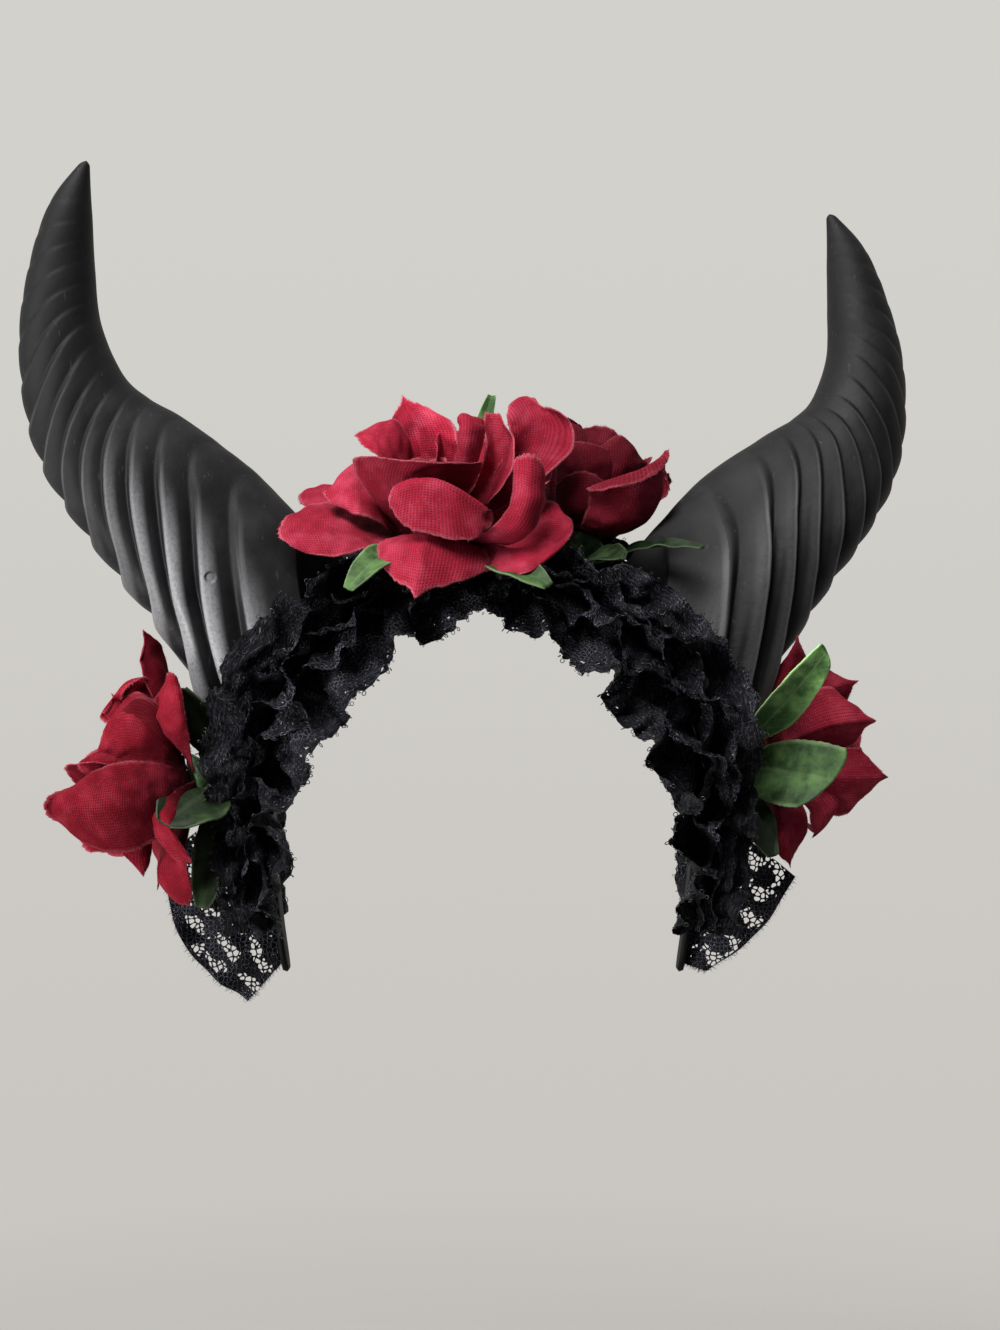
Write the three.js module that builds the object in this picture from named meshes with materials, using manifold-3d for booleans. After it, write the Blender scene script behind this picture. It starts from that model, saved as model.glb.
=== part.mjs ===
// Devil horns headband: a hair band dressed with gathered lace, two cast horns, cloth roses and leaves.
// Millimetres, +Z up. The wearer faces -Y. The origin is where the top of the head meets the band.
import * as THREE from "three";
import { mergeVertices } from "three/addons/utils/BufferGeometryUtils.js";
import Module from "manifold-3d";

const wasm = await Module();
wasm.setup();

// Driving dimensions

const GAP = 0.3; // between pieces that rest on each other
const CLOTH = 1.0; // wall of the petals and leaves

const BAND = {
  radius: 76, // inside of the arch over the head
  sideLength: 66, // from the end of the arch down to a tip
  sideRadius: 400, // the sides lean in on this wide arc
  thickness: 2.6,
  topWidth: 22,
  tipWidth: 13,
  tipRound: 9, // length over which a tip is rounded off
};

const HORN = {
  seatArc: 78, // band length from the top to the middle of the seat
  ribs: 12,
  ribHeight: 0.075, // of the horn's radius
  ribCrowding: 0.86, // under 1 spreads the ribs near the seat
  slant: 0.16, // how far a rib climbs from the lower to the upper side, of the horn's length
  slantTurn: 0.45, // turns the highest point of a slanted rib towards the front, in radians
  sides: 12,
};

// Sections of a horn from its root to its tip: its centre outwards, upwards and backwards, and its two diameters.
const HORN_SECTIONS = [
  { out: 28, up: -72, back: 0, across: 62, deep: 40 },
  { out: 56, up: -38, back: 0, across: 64, deep: 40 },
  { out: 87, up: -1, back: 1, across: 65, deep: 42 },
  { out: 106, up: 21, back: 2, across: 61, deep: 42 },
  { out: 124.5, up: 38.5, back: 3, across: 54.5, deep: 41 },
  { out: 138.5, up: 53, back: 4, across: 45.5, deep: 38 },
  { out: 147.5, up: 69, back: 4, across: 37, deep: 34 },
  { out: 152.5, up: 92, back: 4, across: 29.5, deep: 28.5 },
  { out: 151.5, up: 114, back: 3, across: 23.5, deep: 23 },
  { out: 148, up: 135, back: 1.5, across: 15.5, deep: 15.5 },
  { out: 142, up: 152, back: 0, across: 2, deep: 2 },
];

// How each horn was set on the band: leant back, turned back and tipped in towards the middle, in degrees.
const HORNS = [
  { name: "horn_left", side: -1, lean: 0, turn: 0, tip: 0 },
  { name: "horn_right", side: 1, lean: 18, turn: 10, tip: -1 },
];

const LACE = {
  thickness: 1.2,
  foldPitch: 30, // band length taken up by one gather
  stepsPerFold: 4.5,
  lift: 3.4, // of the stitched line over the band's inside
  seatHalf: 12.2, // from the middle of the band to a stitched line
  hornSeatReach: 44, // band length over which the line swings out for a horn
  end: 167, // band length from the top to where the lace ends
  swing: 21, // degrees by which a gather leans to and fro
  scallop: 0.15, // share by which a hem comes and goes
};

// The free halves of the lace along one side of the band: how wide the half that stands out and the half that
// lies in are, and how far each leans away from the middle of the band, in degrees.
const FRONT_FRILL = [
  { at: 0, out: 7, outLean: 60, in: 24, inLean: 56 },
  { at: 42, out: 16, outLean: 46, in: 28, inLean: 48 },
  { at: 84, out: 27, outLean: 26, in: 31, inLean: 47 },
  { at: 126, out: 17, outLean: 26, in: 25, inLean: 74 },
  { at: 168, out: 17, outLean: 32, in: 16, inLean: 86 },
];
const BACK_FRILL = [
  { at: 0, out: 15, outLean: 50, in: 17, inLean: 80 },
  { at: 42, out: 20, outLean: 48, in: 18, inLean: 80 },
  { at: 84, out: 24, outLean: 48, in: 19, inLean: 80 },
  { at: 126, out: 15, outLean: 46, in: 18, inLean: 84 },
  { at: 168, out: 15, outLean: 40, in: 15, inLean: 86 },
];
// Each length of lace: the side of the band it edges, and how far out it is stitched beside the two horns.
const RUFFLES = [
  { name: "lace_ruffle_front", way: -1, frill: FRONT_FRILL, shift: 0.4, hornLeft: 22.8, hornRight: 22.4 },
  { name: "lace_ruffle_back", way: 1, frill: BACK_FRILL, shift: 2.1, hornLeft: 22.8, hornRight: 29 },
];

// Openwork lace ends: the band lengths between which each is sewn on, and the corners of its free hem.
const TAILS = [
  { name: "lace_tail_left", side: -1, from: 168, to: 182, hemLow: [-86, -4, -152], hemTop: [-117, -2, -110] },
  { name: "lace_tail_right", side: 1, from: 168, to: 182, hemLow: [82, -4, -141], hemTop: [114.5, 4, -107] },
];
const TAIL = { thickness: 1.2, bulge: 5, holeRows: 2, holesPerRow: 4, holeShare: 0.3, holeSides: 4 };

// Petal discs of the two kinds of bloom, from the outside in.
// open: angle from the rose's axis at the root and at the tip, in degrees.
// wrap: how tightly a petal bends round the axis (1 keeps an even distance from it).
const OPEN_BLOOM = [
  { layer: "outer", count: 5, open: [60, 98], length: 46, half: 20.5, root: 8.8, wrap: 1.5, roll: 4, turn: 0 },
  { layer: "middle", count: 4, open: [34, 62], length: 44, half: 19, root: 7.8, wrap: 1.2, roll: 3, turn: 36 },
  { layer: "inner", count: 3, open: [12, 34], length: 38, half: 16, root: 6.7, wrap: 1.1, roll: 2, turn: 20 },
];
const SIDE_BLOOM = [
  { layer: "outer", count: 4, open: [62, 86], length: 46, half: 21, root: 8.8, wrap: 1.5, roll: 4, turn: 0 },
  { layer: "middle", count: 4, open: [30, 46], length: 46, half: 19, root: 7.8, wrap: 1.2, roll: 3, turn: 45 },
  { layer: "inner", count: 3, open: [10, 24], length: 38, half: 14.5, root: 6.7, wrap: 1.1, roll: 2, turn: 20 },
];
const CUPPED_BLOOM = [
  { layer: "outer", count: 4, open: [36, 54], length: 40, half: 19, root: 8.8, wrap: 1.25, roll: 3, turn: 0 },
  { layer: "middle", count: 4, open: [18, 30], length: 38, half: 13.5, root: 7.8, wrap: 1.15, roll: 1.5, turn: 30 },
  { layer: "inner", count: 3, open: [7, 12], length: 33, half: 11, root: 6.5, wrap: 1.05, roll: 0.5, turn: 15 },
];

const ROSE = {
  stemRadius: 3,
  cupRadius: 9.4,
  cupHeight: 8,
  hubOver: 1, // of a disc's hub past the petal roots
  sway: 8, // degrees by which neighbouring petals open differently
};

const BUD = { turns: 1.7, innerRadius: 2, outerRadius: 4.9, height: 27, flare: 1.2 };

// seat: band length from the top. y: place across the band. axis: the way the bloom faces.
const ROSES = [
  { name: "rose_front", seat: -17, y: 0, axis: [-0.06, -0.54, 0.84], stem: 18, turn: 56, size: 1.02, bloom: OPEN_BLOOM },
  { name: "rose_second", seat: 30, y: 7.8, axis: [0.19, 0.48, 0.86], stem: 20.5, turn: 30, size: 0.96, bloom: CUPPED_BLOOM },
  { name: "rose_left", seat: -109, y: -2, axis: [-0.93, -0.28, -0.2], stem: 27, turn: 54, size: 1.04, bloom: SIDE_BLOOM },
  { name: "rose_right", seat: 110, y: 2, axis: [0.86, 0.5, 0.0], stem: 24, turn: 40, size: 0.9, bloom: SIDE_BLOOM },
];

// Leaves: the rose whose stem each grows from and how far up, the tip, the way its face looks, half its width,
// how far it bends in degrees, and the share of its length that is bare stalk.
const LEAVES = [
  { name: "leaf_front_left", rose: 0, up: 9, tip: [-48, -44, -1], face: [0, -0.6, 0.8], half: 6, bend: 45, stalk: 0.4 },
  { name: "leaf_front_right", rose: 0, up: 9, tip: [23, -46, 1], face: [0, -0.6, 0.8], half: 7, bend: 45, stalk: 0.4 },
  { name: "leaf_top", rose: 0, up: 3, tip: [3, 38, 72], face: [0, -1, 0.2], half: 6, bend: -60, stalk: 0.5 },
  { name: "leaf_second_right", rose: 1, up: 6, tip: [78, -20, 14], face: [0, -0.4, 0.9], half: 6, bend: 40, stalk: 0.3 },
  { name: "leaf_second_low", rose: 1, up: 8, tip: [50, -26, 10], face: [0.1, -0.8, 0.6], half: 7, bend: 25, stalk: 0.2 },
  { name: "leaf_right_upper", rose: 3, up: 9, tip: [123, -26, -20], face: [0.3, -0.9, 0], half: 8, bend: 30, stalk: 0.25 },
  { name: "leaf_right_lower", rose: 3, up: 14, tip: [130, -25, -70], face: [0, -0.95, 0.2], half: 12.5, bend: 35, stalk: 0.1 },
  { name: "leaf_right_bottom", rose: 3, up: 9, tip: [104, -16, -97], face: [0.4, -0.9, 0], half: 7, bend: 20, stalk: 0.2 },
  { name: "leaf_left_upper", rose: 2, up: 10, tip: [-106, -18, -45], face: [-0.5, -0.85, 0], half: 6, bend: 20, stalk: 0.1 },
  { name: "leaf_left_mid", rose: 2, up: 14, tip: [-105, -32, -79], face: [-0.3, -0.4, 0.8], half: 4, bend: 10, stalk: 0.4 },
  { name: "leaf_left_lower", rose: 2, up: 10, tip: [-101, -12, -116], face: [-0.4, -0.9, 0], half: 5, bend: 10, stalk: 0.3 },
];

// Materials

const material = (color, roughness) => new THREE.MeshStandardMaterial({ color, roughness, metalness: 0 });
const HORN_BLACK = material(0x2b2b2d, 0.55);
const BAND_BLACK = material(0x0d0d0e, 0.45);
const LACE_BLACK = material(0x111113, 0.9);
const LEAF_GREEN = material(0x3f6b3a, 0.7);
const CALYX_GREEN = material(0x2c4a2a, 0.6);
const PETAL_RED = {
  rose_front: material(0xb0203c, 0.8),
  rose_second: material(0x6d1022, 0.8),
  rose_left: material(0x9a1a33, 0.8),
  rose_right: material(0x8a1a30, 0.8),
};

// Small helpers

const radians = THREE.MathUtils.degToRad;
const vector = (list) => new THREE.Vector3(...list);
const smooth = (from, to, x) => THREE.MathUtils.smoothstep(x, from, to);

/** Distance forward and sideways along a strip that turns evenly from one angle to another. */
function bentStrip(fromAngle, toAngle, length, share) {
  const rate = toAngle - fromAngle || 1e-6;
  const angle = fromAngle + rate * share;
  return {
    along: (length * (Math.sin(angle) - Math.sin(fromAngle))) / rate,
    aside: (length * (Math.cos(fromAngle) - Math.cos(angle))) / rate,
    angle,
  };
}

/** A closed geometry from points and triangles. */
function closedGeometry(points, triangles) {
  return new THREE.BufferGeometry()
    .setAttribute("position", new THREE.Float32BufferAttribute(points.flatMap((p) => p.toArray()), 3))
    .setIndex(triangles);
}

/** A wall of even thickness about the surface point(u, v), with u and v from 0 to 1. */
function wall(point, uSteps, vSteps, thickness) {
  const rows = Array.from({ length: uSteps + 1 }, (_, i) =>
    Array.from({ length: vSteps + 1 }, (_, j) => point(i / uSteps, j / vSteps)),
  );
  const clampedRow = (i) => rows[THREE.MathUtils.clamp(i, 0, uSteps)];
  const normal = (i, j) => {
    const alongU = clampedRow(i + 1)[j].clone().sub(clampedRow(i - 1)[j]);
    const alongV = rows[i][Math.min(j + 1, vSteps)].clone().sub(rows[i][Math.max(j - 1, 0)]);
    return alongU.cross(alongV).normalize();
  };
  const offset = (share) => rows.flatMap((row, i) => row.map((p, j) => p.clone().addScaledVector(normal(i, j), share)));
  const points = [...offset(thickness / 2), ...offset(-thickness / 2)];
  const columns = vSteps + 1;
  const under = (uSteps + 1) * columns;
  const triangles = [];
  const quad = (a, b, c, d) => triangles.push(a, b, c, a, c, d);
  for (let i = 0; i < uSteps; i++) {
    for (let j = 0; j < vSteps; j++) {
      const a = i * columns + j;
      quad(a, a + columns, a + columns + 1, a + 1);
      quad(under + a, under + a + 1, under + a + columns + 1, under + a + columns);
    }
  }
  for (let i = 0; i < uSteps; i++) {
    const left = i * columns;
    const right = left + vSteps;
    quad(left, under + left, under + left + columns, left + columns);
    quad(right, right + columns, under + right + columns, under + right);
  }
  const last = uSteps * columns;
  for (let j = 0; j < vSteps; j++) {
    quad(j, j + 1, under + j + 1, under + j);
    quad(last + j, under + last + j, under + last + j + 1, last + j + 1);
  }
  return closedGeometry(points, triangles);
}

/** The manifold solid of a closed geometry. */
function solid(geometry) {
  const bare = geometry.clone();
  bare.deleteAttribute("normal");
  bare.deleteAttribute("uv");
  const merged = mergeVertices(bare, 1e-4);
  return new wasm.Manifold(
    new wasm.Mesh({
      numProp: 3,
      vertProperties: new Float32Array(merged.attributes.position.array),
      triVerts: new Uint32Array(merged.index.array),
    }),
  );
}

/** The geometry of the largest body of a manifold solid. */
function geometryOf(made) {
  const largest = made.decompose().sort((a, b) => b.volume() - a.volume())[0];
  const mesh = largest.getMesh();
  return new THREE.BufferGeometry()
    .setAttribute("position", new THREE.BufferAttribute(new Float32Array(mesh.vertProperties), 3))
    .setIndex(new THREE.BufferAttribute(new Uint32Array(mesh.triVerts), 1));
}

const group = new THREE.Group();

function addMesh(name, geometry, finish) {
  const mesh = new THREE.Mesh(geometry, finish);
  mesh.name = name;
  group.add(mesh);
  return mesh;
}

// Band

const ARCH_QUARTER = (BAND.radius * Math.PI) / 2;
const BAND_HALF = ARCH_QUARTER + BAND.sideLength;

/** The inside line of the band at a length from its top, with the way that points out of the head. */
function bandLine(length) {
  const side = Math.sign(length) || 1;
  const run = Math.abs(length);
  if (run <= ARCH_QUARTER) {
    const turn = run / BAND.radius;
    return {
      point: new THREE.Vector3(side * BAND.radius * Math.sin(turn), 0, BAND.radius * (Math.cos(turn) - 1)),
      out: new THREE.Vector3(side * Math.sin(turn), 0, Math.cos(turn)),
    };
  }
  const turn = (run - ARCH_QUARTER) / BAND.sideRadius;
  const centre = BAND.radius - BAND.sideRadius;
  return {
    point: new THREE.Vector3(
      side * (centre + BAND.sideRadius * Math.cos(turn)),
      0,
      -BAND.radius - BAND.sideRadius * Math.sin(turn),
    ),
    out: new THREE.Vector3(side * Math.cos(turn), 0, -Math.sin(turn)),
  };
}

/** A point off the band: a height above its inside line and a place across it. */
function offBand(length, height, y) {
  const { point, out } = bandLine(length);
  return point.addScaledVector(out, height).setY(y);
}

function bandGeometry() {
  const width = (length) => {
    const run = Math.abs(length);
    const plain = THREE.MathUtils.lerp(BAND.topWidth, BAND.tipWidth, run / BAND_HALF);
    const intoTip = Math.max(0, 1 - (BAND_HALF - run) / BAND.tipRound);
    return plain * Math.max(0.25, Math.sqrt(1 - intoTip * intoTip));
  };
  const tipSteps = [0, 0.25, 0.6, 1].map((share) => share * BAND.tipRound);
  const straight = 20;
  const between = Array.from({ length: straight - 1 }, (_, i) => ((i + 1) / straight) * 2 - 1);
  const lengths = [
    ...tipSteps.map((step) => step - BAND_HALF),
    ...between.map((share) => share * (BAND_HALF - BAND.tipRound)),
    ...tipSteps.map((step) => BAND_HALF - step).reverse(),
  ];
  const surface = (u, v) => {
    const length = lengths[Math.round(u * (lengths.length - 1))];
    return offBand(length, BAND.thickness / 2, (v - 0.5) * width(length));
  };
  return wall(surface, lengths.length - 1, 2, BAND.thickness);
}

// Horns

/** A smooth value at a place from 0 to 1 through the rows of a table, by column. */
function between(rows, column, place) {
  const at = THREE.MathUtils.clamp(place, 0, 1) * (rows.length - 1);
  const i = Math.min(Math.floor(at), rows.length - 2);
  const t = at - i;
  const value = (k) => rows[THREE.MathUtils.clamp(k, 0, rows.length - 1)][column];
  const [a, b, c, d] = [value(i - 1), value(i), value(i + 1), value(i + 2)];
  return b + 0.5 * t * (c - a + t * (2 * a - 5 * b + 4 * c - d + t * (3 * (b - c) + d - a)));
}

/** A point on the right-hand horn: row from 0 at the seat to 1 at the tip, round from the upper side. */
function hornPoint(row, round, swell) {
  const place = row + HORN.slant * (1 - row) * Math.cos(round + HORN.slantTurn);
  const centre = (share) => new THREE.Vector3(
    between(HORN_SECTIONS, "out", share),
    between(HORN_SECTIONS, "back", share),
    between(HORN_SECTIONS, "up", share),
  );
  const step = 0.01;
  const tangent = centre(Math.min(place + step, 1)).sub(centre(Math.max(place - step, 0))).normalize();
  const back = new THREE.Vector3(0, 1, 0).addScaledVector(tangent, -tangent.y).normalize();
  const upper = tangent.clone().cross(back).normalize();
  const envelope = Math.pow((1 - Math.cos(round)) / 2, 0.6);
  const radius = 0.5 * (1 + swell * envelope);
  return centre(place)
    .addScaledVector(upper, radius * between(HORN_SECTIONS, "across", place) * Math.cos(round))
    .addScaledVector(back, radius * between(HORN_SECTIONS, "deep", place) * Math.sin(round));
}

/** Rows of a horn with how far each stands out: every rib rises slowly and steps in again. */
function hornRows() {
  const rise = [{ f: 0.06, stand: 0 }, { f: 0.8, stand: 1 }];
  const rows = [];
  for (let rib = 0; rib < HORN.ribs; rib++) {
    const fade = 1 - 0.55 * (rib / HORN.ribs);
    for (const { f, stand } of rise) {
      const row = Math.pow((rib + f) / (HORN.ribs + 1), HORN.ribCrowding);
      rows.push({ row, swell: HORN.ribHeight * stand * fade });
    }
  }
  return [...rows, { row: 0.965, swell: 0 }];
}

function hornGeometry({ side, lean, turn, tip }) {
  const seat = offBand(HORN.seatArc, BAND.thickness, 0);
  const pose = new THREE.Matrix4()
    .makeScale(side, 1, 1)
    .multiply(new THREE.Matrix4().makeTranslation(...seat.toArray()))
    .multiply(new THREE.Matrix4().makeRotationZ(radians(turn)))
    .multiply(new THREE.Matrix4().makeRotationX(-radians(lean)))
    .multiply(new THREE.Matrix4().makeRotationY(-radians(tip)))
    .multiply(new THREE.Matrix4().makeTranslation(...seat.clone().negate().toArray()));
  const rows = hornRows();
  const ring = (row, swell) => Array.from({ length: HORN.sides }, (_, j) =>
    hornPoint(row, (j / HORN.sides) * Math.PI * 2, swell).applyMatrix4(pose),
  );
  const rings = rows.map(({ row, swell }) => ring(row, swell));
  const seatCentre = rings[0].reduce((sum, p) => sum.add(p), new THREE.Vector3()).divideScalar(HORN.sides);
  const points = [...rings.flat(), seatCentre, hornPoint(1, 0, 0).applyMatrix4(pose)];
  const [baseIndex, tipIndex] = [points.length - 2, points.length - 1];
  const triangles = [];
  const triangle = (a, b, c) => (side > 0 ? triangles.push(a, b, c) : triangles.push(a, c, b));
  for (let j = 0; j < HORN.sides; j++) {
    const next = (j + 1) % HORN.sides;
    for (let i = 0; i + 1 < rings.length; i++) {
      const [low, high] = [i * HORN.sides, (i + 1) * HORN.sides];
      triangle(low + j, high + j, high + next);
      triangle(low + j, high + next, low + next);
    }
    const top = (rings.length - 1) * HORN.sides;
    triangle(baseIndex, j, next);
    triangle(tipIndex, top + next, top + j);
  }
  return closedGeometry(points, triangles);
}

/** Everything inside the head line raised by a height: what a piece glued on the band is hollowed by. */
function headBlock(height) {
  const reach = 120;
  const outline = new THREE.Shape();
  const steps = 30;
  for (let i = 0; i <= steps; i++) {
    const p = offBand(((i / steps) * 2 - 1) * BAND_HALF, height, 0);
    if (i === 0) outline.moveTo(p.x, p.z);
    else outline.lineTo(p.x, p.z);
  }
  const block = new THREE.ExtrudeGeometry(outline, { depth: 2 * reach, bevelEnabled: false });
  return solid(block.translate(0, 0, -reach).rotateX(Math.PI / 2));
}

// Lace

/** How far the stitched line of the lace lies from the middle of the band: further beside a horn. */
function laceSeat(ruffle, length) {
  const fromHorn = Math.abs(Math.abs(length) - HORN.seatArc) / LACE.hornSeatReach;
  const besideHorn = length < 0 ? ruffle.hornLeft : ruffle.hornRight;
  return THREE.MathUtils.lerp(besideHorn, LACE.seatHalf, smooth(0.6, 1, fromHorn));
}

/** The to and fro of the gathers at a length along the band, from -1 to 1. */
function gather(length, shift) {
  const phase = (2 * Math.PI * length) / LACE.foldPitch + shift;
  return 0.8 * Math.sin(phase) + 0.2 * Math.sin(1.7 * phase + 1.7 * shift);
}

/** A point of a gathered length of lace: across from -1 at the inner hem over 0 at the stitches to 1 at the outer. */
function lacePoint(ruffle, length, across) {
  const place = Math.abs(length) / 168;
  const half = across < 0 ? "in" : "out";
  const wave = gather(length, ruffle.shift + (across < 0 ? 1.9 : 0));
  const width = between(ruffle.frill, half, place) * (1 + LACE.scallop * wave);
  const lean = radians(between(ruffle.frill, `${half}Lean`, place) + LACE.swing * wave);
  const share = Math.abs(across);
  const { along, aside } = bentStrip(lean * 0.7, lean * 1.15, width, share);
  const height = LACE.lift + Math.sign(across) * along;
  return offBand(length, height, ruffle.way * (laceSeat(ruffle, length) + aside));
}

function ruffleGeometry(ruffle) {
  const steps = Math.round((2 * LACE.end * LACE.stepsPerFold) / LACE.foldPitch);
  const surface = (u, v) => lacePoint(ruffle, LACE.end * (2 * u - 1), ruffle.way * (1 - 2 * v));
  return wall(surface, steps, 6, LACE.thickness);
}

/** An openwork lace end between the band and its hem, bulging a little, cut through in rows of openings. */
function tailGeometry({ side, from, to, hemLow, hemTop }) {
  const onBand = (length) => offBand(side * length, BAND.thickness + GAP, 0);
  const point = (u, v) => {
    const top = onBand(from).lerp(vector(hemTop), u);
    const low = onBand(to).lerp(vector(hemLow), u);
    const bulge = TAIL.bulge * Math.sin(Math.PI * v) * Math.sin((Math.PI / 2) * u);
    return top.lerp(low, v).add(new THREE.Vector3(0, -bulge, 0));
  };
  let made = solid(wall(point, 3, 4, TAIL.thickness));
  for (let row = 0; row < TAIL.holeRows; row++) {
    for (let hole = 0; hole < TAIL.holesPerRow; hole++) {
      const u = 0.56 + 0.25 * row;
      const v = (hole + 0.6 + 0.3 * row) / (TAIL.holesPerRow + 1.3);
      const pitch = point(u, 0).distanceTo(point(u, 1)) / TAIL.holesPerRow;
      const radius = TAIL.holeShare * Math.min(pitch, 0.3 * point(0, v).distanceTo(point(1, v)));
      const centre = point(u, v);
      const punch = new THREE.CylinderGeometry(radius, radius, 30, TAIL.holeSides);
      made = made.subtract(solid(punch.translate(centre.x, centre.y, centre.z)));
    }
  }
  return geometryOf(made);
}

// Roses

/** Half the width of a petal at a share of its length: narrow at the root, widest past the middle. */
function petalHalfWidth(half, share) {
  const widest = 0.62;
  if (share < widest) return half * (0.22 + 0.78 * (share / widest));
  return half * (1 - 0.3 * Math.pow((share - widest) / (1 - widest), 2));
}

/** A point of one petal about the rose's axis (+Z): share along it, across from -1 to 1. */
function petalPoint(row, index, size, share, across) {
  const s = share * (1 - 0.22 * Math.pow(Math.abs(across), 2));
  const sway = radians(ROSE.sway) * Math.sin(2.4 * index + 1.1 * row.turn);
  const [from, to] = row.open.map(radians);
  const { along, aside, angle } = bentStrip(from, to + sway, row.length * size, s);
  const middle = row.root + aside;
  const bend = (row.wrap * middle) / Math.max(Math.cos(angle), 0.3);
  const q = (across * petalHalfWidth(row.half, s) * size) / bend;
  const rolled = row.roll * size * Math.pow(smooth(0.35, 1, Math.abs(across)), 1.5) * smooth(0.4, 1, s);
  const inward = bend * (1 - Math.cos(q)) - rolled;
  return new THREE.Vector3(middle - inward * Math.cos(angle), bend * Math.sin(q), along + inward * Math.sin(angle));
}

/** A petal disc: petals round a hub, fused. */
function petalDisc(row, size) {
  const hubRadius = row.root + ROSE.hubOver;
  const hub = new THREE.CylinderGeometry(hubRadius, hubRadius, CLOTH, row.count + 3)
    .rotateX(Math.PI / 2)
    .translate(0, 0, CLOTH / 2);
  let made = solid(hub);
  for (let i = 0; i < row.count; i++) {
    const turn = radians(row.turn) + (i / row.count) * 2 * Math.PI;
    const petal = wall((u, v) => petalPoint(row, i, size, u, v * 2 - 1), 3, 4, CLOTH);
    made = made.add(solid(petal.translate(0, 0, CLOTH / 2).rotateZ(turn)));
  }
  return geometryOf(made);
}

/** The heart of a rose: one strip of cloth rolled into a flaring spiral. */
function budGeometry(size) {
  const point = (u, v) => {
    const angle = u * BUD.turns * 2 * Math.PI;
    const radius = THREE.MathUtils.lerp(BUD.innerRadius, BUD.outerRadius, u) * THREE.MathUtils.lerp(1, BUD.flare, v);
    const height = BUD.height * size * (0.86 + 0.14 * Math.cos(angle * 1.5)) * v;
    return new THREE.Vector3(radius * Math.cos(angle), radius * Math.sin(angle), height);
  };
  return wall(point, 11, 1, CLOTH);
}

function calyxGeometry(stem) {
  const profile = [
    [0, 0], [ROSE.stemRadius, 0], [ROSE.stemRadius, stem - ROSE.cupHeight],
    [ROSE.cupRadius, stem - 2], [ROSE.cupRadius, stem], [0, stem],
  ].map(([r, z]) => new THREE.Vector2(r, z));
  return new THREE.LatheGeometry(profile, 7).rotateX(Math.PI / 2);
}

/** Where a rose's stem stands and the way it points. */
function rosePose({ seat, y, axis }) {
  const facing = vector(axis).normalize();
  const { out } = bandLine(seat);
  const footTilt = ROSE.stemRadius * facing.clone().cross(out).length();
  return { foot: offBand(seat, BAND.thickness + GAP + footTilt, y), facing };
}

function addRose(row) {
  const { name, stem, turn, size, bloom } = row;
  const { foot, facing } = rosePose(row);
  const rose = new THREE.Group();
  rose.position.copy(foot);
  rose.quaternion
    .setFromUnitVectors(new THREE.Vector3(0, 0, 1), facing)
    .multiply(new THREE.Quaternion().setFromAxisAngle(new THREE.Vector3(0, 0, 1), radians(turn)));
  const place = (part, geometry, finish, height) => {
    const mesh = new THREE.Mesh(geometry, finish);
    mesh.name = `${name}_${part}`;
    mesh.position.z = height;
    rose.add(mesh);
  };
  place("calyx", calyxGeometry(stem), CALYX_GREEN, 0);
  const layerStep = CLOTH + GAP;
  bloom.forEach((layer, i) =>
    place(`${layer.layer}_petals`, petalDisc(layer, size), PETAL_RED[name], stem + GAP + i * layerStep));
  place("bud", budGeometry(size), PETAL_RED[name], stem + GAP + bloom.length * layerStep);
  group.add(rose);
}

// Leaves

/** A leaf blade folded along its midrib and bent back along its length, from a rose's stem. */
function leafGeometry({ rose, up: climb, tip, face, half, bend, stalk }) {
  const { foot, facing } = rosePose(ROSES[rose]);
  const onStem = foot.addScaledVector(facing, climb);
  const aside = vector(tip).sub(onStem);
  aside.addScaledVector(facing, -aside.dot(facing)).normalize();
  const root = onStem.addScaledVector(aside, ROSE.stemRadius + 3 * GAP);
  const chord = vector(tip).sub(root);
  const sag = radians(bend);
  const length = (chord.length() * sag) / (2 * Math.sin(sag / 2));
  const forward = chord.normalize();
  const across = vector(face).cross(forward).normalize();
  const over = forward.clone().cross(across).normalize();
  const fold = 0.28;
  const point = (u, v) => {
    const c = v * 2 - 1;
    const strip = bentStrip(sag / 2, -sag / 2, length, u);
    const blade = Math.max(0, (u - stalk) / (1 - stalk));
    const width = 0.9 + (half - 0.9) * Math.pow(Math.sin(Math.PI * (0.02 + 0.94 * Math.pow(blade, 0.8))), 0.8);
    return root.clone()
      .addScaledVector(forward, strip.along)
      .addScaledVector(over, strip.aside + fold * width * Math.abs(c))
      .addScaledVector(across, width * c);
  };
  return wall(point, 4, 2, CLOTH);
}

// Assembly

addMesh("band", bandGeometry(), BAND_BLACK);

const seatBlock = headBlock(BAND.thickness + GAP);
for (const horn of HORNS) {
  addMesh(horn.name, geometryOf(solid(hornGeometry(horn)).subtract(seatBlock)), HORN_BLACK);
}
for (const ruffle of RUFFLES) addMesh(ruffle.name, ruffleGeometry(ruffle), LACE_BLACK);
for (const tail of TAILS) addMesh(tail.name, tailGeometry(tail), LACE_BLACK);
for (const rose of ROSES) addRose(rose);
for (const leaf of LEAVES) addMesh(leaf.name, leafGeometry(leaf), LEAF_GREEN);

export default group;
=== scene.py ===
"""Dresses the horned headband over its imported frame: studio, band, horns, lace, cloth roses and leaves.

Tables and sizes are in millimetres. +X points to the viewer's right, -Y to the front and +Z up.
Meshes are written in metres in the same frame as the solids that they replace.
"""

import logging
import math
from dataclasses import dataclass, field
from enum import Enum
from typing import Sequence

import bmesh
import bpy
import numpy as np
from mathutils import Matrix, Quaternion, Vector

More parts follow.
